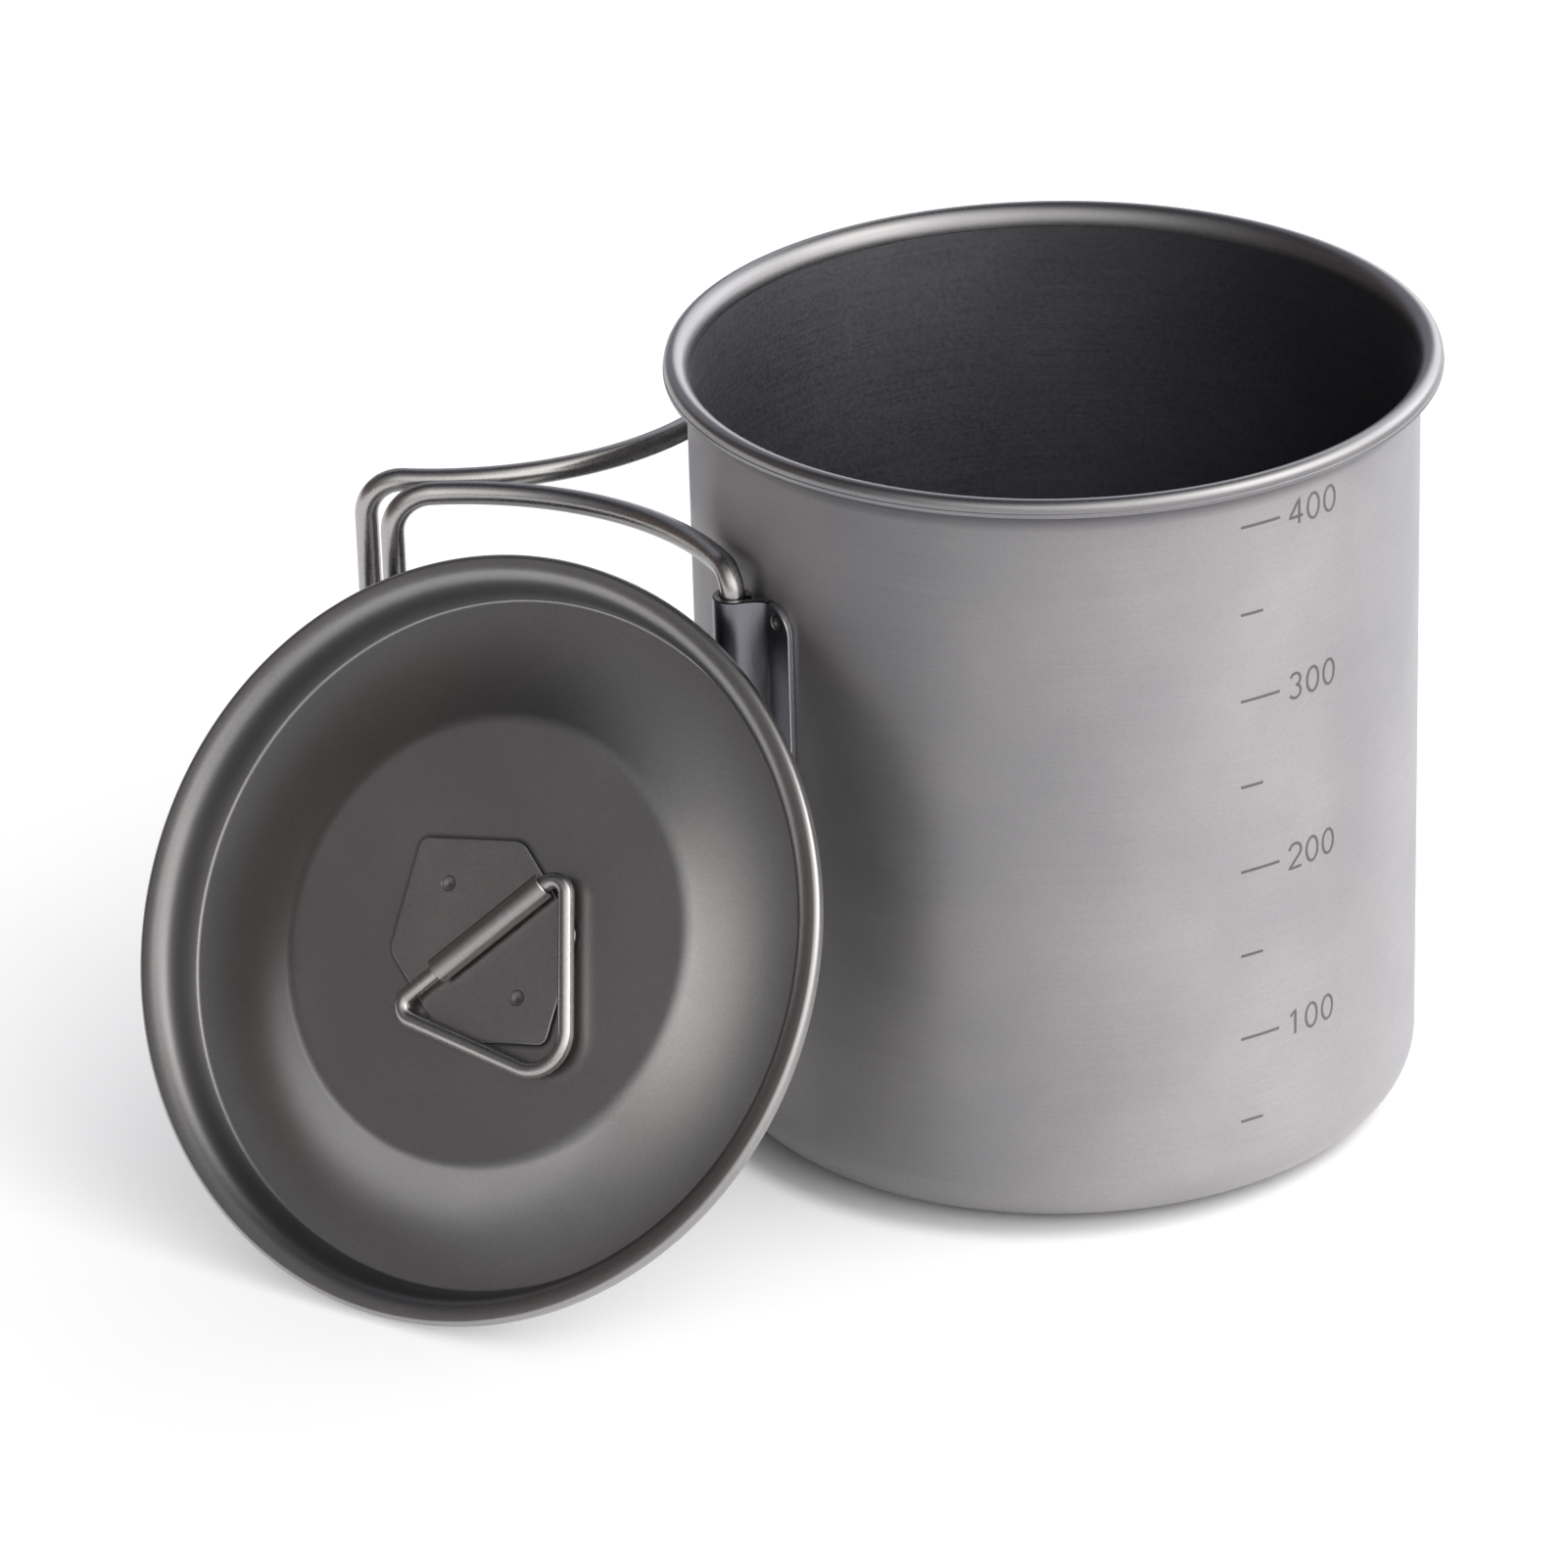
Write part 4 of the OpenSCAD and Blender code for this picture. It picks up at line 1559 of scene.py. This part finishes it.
    def build(self) -> None:
        """Makes the plate, its knuckle and its welds."""
        for draft, name, nodes in (
            (self.plate(), "loop_plate", ["lid_bracket"]),
            (self.knuckle(), "loop_knuckle", []),
            (self.nuggets(), "plate_nuggets", ["lid_welds"]),
        ):
            self.place(draft, name, Finishes.STAMPED, "lid", "titanium_sheet", nodes, self.matrix())


@dataclass
class LidLoop(SubAssembly):
    """The triangular wire loop that swings in the knuckle."""

    plate: LoopPlate | None = None
    wire_d: float = 1.8
    width: float = 26.0
    height: float = 20.1
    corner: float = 1.6
    tip: float = 4.0

    def path(self) -> list[Vector]:
        """The wire's closed middle line.

        Returns:
            Points in the plate's frame, each once.
        """
        base = math.atan2(self.height, self.width / 2)
        deg = math.degrees(base)
        bar = self.width / 2 - self.corner / math.tan(base / 2)
        right = arc((bar, -self.corner), self.corner, 90, deg - 90, steps=18)
        tip_y = -self.height + self.tip / math.cos(base)
        foot = arc((0.0, tip_y), self.tip, deg - 90, -90 - deg, steps=26)
        left = [(-x, y) for x, y in reversed(right)]
        flat = chain(
            line((-bar, 0.0), (bar, 0.0), step=0.8),
            right,
            line(right[-1], foot[0], step=0.8),
            foot,
            line(foot[-1], left[0], step=0.8),
            left[:-1],
        )
        return [Vector((x, y, self.plate.pivot_z())) for x, y in flat]

    def build(self) -> None:
        """Makes the loop."""
        draft = wire(self.path(), self.wire_d / 2, closed=True)
        place = self.plate.matrix()
        self.place(draft, "loop_wire", Finishes.WIRE, "loop", "titanium_wire", ["lid_loop"], place)


# The studio ---------------------------------------------------------------------------------------------


@dataclass(frozen=True)
class Lamp:
    """A soft lamp: where it stands, what it faces and how large it is, in metres, and how strong."""

    name: str
    place: Point3
    aim: Point3
    size: Point2
    power: float
    colour: str


@dataclass(frozen=True)
class Glow:
    """A pale patch of the studio's walls: its middle, where it ends, how wide its core is, how bright."""

    toward: Point3
    rim_deg: float
    core_deg: float
    strength: float
    colour: str


@dataclass
class Studio:
    """Pale floor, soft light and the camera of the portrait."""

    image_px: float = 1601.0
    focal_px: float = 8000.0
    sensor: float = 36.0
    clip_m: Point2 = (0.01, 50.0)
    camera_place: Point3 = (-39.0206, -785.2734, 422.4183)
    yaw: float = -0.61407
    pitch: float = -26.18801
    roll: float = -1.67613
    # The floor: it lies a hair below the base, and its glow is held back in a ring round a point a little off
    # the pot's axis, which paints a contact shadow round the foot
    floor_half_m: float = 6.0
    floor_drop: float = 0.2
    floor_tone: str = "#e9e9ea"
    floor_glow: float = 0.32
    floor_heart: Point2 = (-2.6, -0.8)
    floor_reach: Point2 = (37.5, 41.5)
    # The room: its tone, its pale patches, and the heights between which the horizon's white ends
    room_tone: str = "#62646e"
    room_level: float = 0.45
    horizon: Point2 = (0.01, 0.04)
    white: str = "#ffffff"
    glows: tuple[Glow, ...] = (
        Glow((0.93, -0.33, 0.25), 76.0, 28.0, 2.1, "#fffdfb"),
        Glow((-0.16, -0.83, 0.52), 34.0, 4.0, 1.02, "#fffdfa"),
        Glow((-0.16, -0.83, 0.52), 65.0, 30.0, 0.28, "#fffdfb"),
        Glow((0.6, 0.78, 0.2), 42.0, 15.0, 2.0, "#f8f9ff"),
        Glow((-0.25, 0.85, 0.45), 34.0, 14.0, 0.35, "#f0f2ff"),
        Glow((-0.95, 0.25, 0.2), 45.0, 15.0, 0.1, "#ffd2b8"),
    )
    lamps: tuple[Lamp, ...] = (
        Lamp("key_softbox", (0.95, -0.35, 0.75), (0.0, 0.0, 0.04), (0.9, 0.9), 3.4, "#fffdfb"),
    )

    def paper(self) -> bpy.types.Material:
        """Makes the floor's material.

        Returns:
            Matt pale paper; the camera and the metal see it nearly white, and it keeps the shadow. Its glow
            is left out round the pot's foot, which paints a darker contact shadow there.
        """
        material = bpy.data.materials.new("pale_paper_floor")
        tree = fresh_tree(material)
        ray = add_node(tree, "ShaderNodeLightPath").outputs
        shown = ray["Is Camera Ray"]
        for kind in ("Is Glossy Ray", "Is Transmission Ray"):
            shown = add_node(tree, "ShaderNodeMath", {0: shown, 1: ray[kind]}, operation="MAXIMUM").outputs[0]
        spot = add_node(tree, "ShaderNodeNewGeometry").outputs["Position"]
        # Painted contact shadow: the glow fades out toward a point just off the pot's axis
        heart = (self.floor_heart[0] * MM, self.floor_heart[1] * MM, 0.0)
        away = add_node(tree, "ShaderNodeVectorMath", {0: spot, 1: heart}, operation="DISTANCE")
        lift = add_node(
            tree,
            "ShaderNodeMapRange",
            {
                "Value": away.outputs["Value"],
                "From Min": self.floor_reach[0] * MM,
                "From Max": self.floor_reach[1] * MM,
                "To Max": self.floor_glow,
            },
            interpolation_type="SMOOTHSTEP",
        )
        strength = add_node(
            tree, "ShaderNodeMath", {0: shown, 1: lift.outputs["Result"]}, operation="MULTIPLY"
        )
        matt = add_node(tree, "ShaderNodeBsdfDiffuse", {"Color": linear(self.floor_tone)})
        glow = add_node(
            tree, "ShaderNodeEmission", {"Color": linear(self.white), "Strength": strength.outputs[0]}
        )
        both = add_node(tree, "ShaderNodeAddShader", {0: matt.outputs[0], 1: glow.outputs[0]})
        add_node(tree, "ShaderNodeOutputMaterial", {"Surface": both.outputs[0]})
        return material

    def floor(self) -> None:
        """Lays the floor."""
        half, z = self.floor_half_m, -self.floor_drop * MM
        mesh = bpy.data.meshes.new("floor")
        corners = [(-half, -half, z), (half, -half, z), (half, half, z), (-half, half, z)]
        mesh.from_pydata(corners, [], [(0, 1, 2, 3)])
        mesh.materials.append(self.paper())
        add_object("floor", mesh)

    def surroundings(self) -> None:
        """Makes a dim room with soft pale patches on its walls, white at the horizon and below it."""
        world = bpy.data.worlds.new("studio_room")
        bpy.context.scene.world = world
        tree = fresh_tree(world)
        way = add_node(tree, "ShaderNodeTexCoord").outputs["Generated"]
        total = add_node(
            tree, "ShaderNodeBackground", {"Color": linear(self.room_tone), "Strength": self.room_level}
        ).outputs[0]
        for glow in self.glows:
            facing = add_node(
                tree,
                "ShaderNodeVectorMath",
                {0: way, 1: tuple(Vector(glow.toward).normalized())},
                operation="DOT_PRODUCT",
            )
            fade = add_node(
                tree,
                "ShaderNodeMapRange",
                {
                    "Value": facing.outputs["Value"],
                    "From Min": math.cos(math.radians(glow.rim_deg)),
                    "From Max": math.cos(math.radians(glow.core_deg)),
                    "To Max": glow.strength,
                },
                interpolation_type="SMOOTHSTEP",
            )
            patch = add_node(
                tree, "ShaderNodeBackground", {"Color": linear(glow.colour), "Strength": fade.outputs[0]}
            )
            total = add_node(tree, "ShaderNodeAddShader", {0: total, 1: patch.outputs[0]}).outputs[0]
        height = add_node(tree, "ShaderNodeSeparateXYZ", {0: way}).outputs["Z"]
        low, high = self.horizon
        rim = add_node(
            tree,
            "ShaderNodeMapRange",
            {"Value": height, "From Min": low, "From Max": high, "To Min": 1.0, "To Max": 0.0},
            interpolation_type="SMOOTHSTEP",
        )
        white = add_node(tree, "ShaderNodeBackground", {"Color": linear(self.white), "Strength": 1.0})
        sky = add_node(tree, "ShaderNodeMixShader", {0: rim.outputs[0], 1: total, 2: white.outputs[0]})
        add_node(tree, "ShaderNodeOutputWorld", {"Surface": sky.outputs[0]})

    def lights(self) -> None:
        """Hangs the soft lamps."""
        for lamp in self.lamps:
            data = bpy.data.lights.new(lamp.name, "AREA")
            data.shape = "RECTANGLE"
            data.size, data.size_y = lamp.size
            data.energy = lamp.power
            data.color = linear(lamp.colour)[:3]
            made = add_object(lamp.name, data)
            made.location = lamp.place
            made.rotation_mode = "QUATERNION"
            made.rotation_quaternion = (Vector(lamp.aim) - Vector(lamp.place)).to_track_quat("-Z", "Y")

    def camera(self) -> None:
        """Stands the camera where the portrait was taken."""
        data = bpy.data.cameras.new("portrait")
        data.sensor_width = self.sensor
        data.lens = self.focal_px / self.image_px * self.sensor
        data.clip_start, data.clip_end = self.clip_m
        turn = Matrix.Translation(Vector(self.camera_place) * MM)
        # The quarter turn about X lifts its view from straight down to level along +Y
        for degrees, axis in ((self.yaw, "Z"), (90, "X"), (self.pitch, "X"), (self.roll, "Z")):
            turn = turn @ Matrix.Rotation(math.radians(degrees), 4, axis)
        made = add_object("portrait", data)
        made.matrix_world = turn
        bpy.context.scene.camera = made

    def build(self) -> None:
        """Sets up camera, floor, room and lamps."""
        bpy.context.scene.view_settings.view_transform = "Standard"
        self.camera()
        self.floor()
        self.surroundings()
        self.lights()


def main() -> None:
    """Loads the frame and builds the studio and every sub-assembly in order."""
    logging.basicConfig(level=logging.INFO, format="%(name)s %(message)s")
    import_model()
    finishes = Finishes()
    Studio().build()
    PotShell(finishes).build()
    for side in Side:
        HandleBracket(finishes, side=side).build()
        WireHandle(finishes, side=side).build()
    lid = DropInLid(finishes)
    lid.build()
    plate = LoopPlate(finishes, lid=lid)
    plate.build()
    LidLoop(finishes, plate=plate).build()


if __name__ == "__main__":
    main()
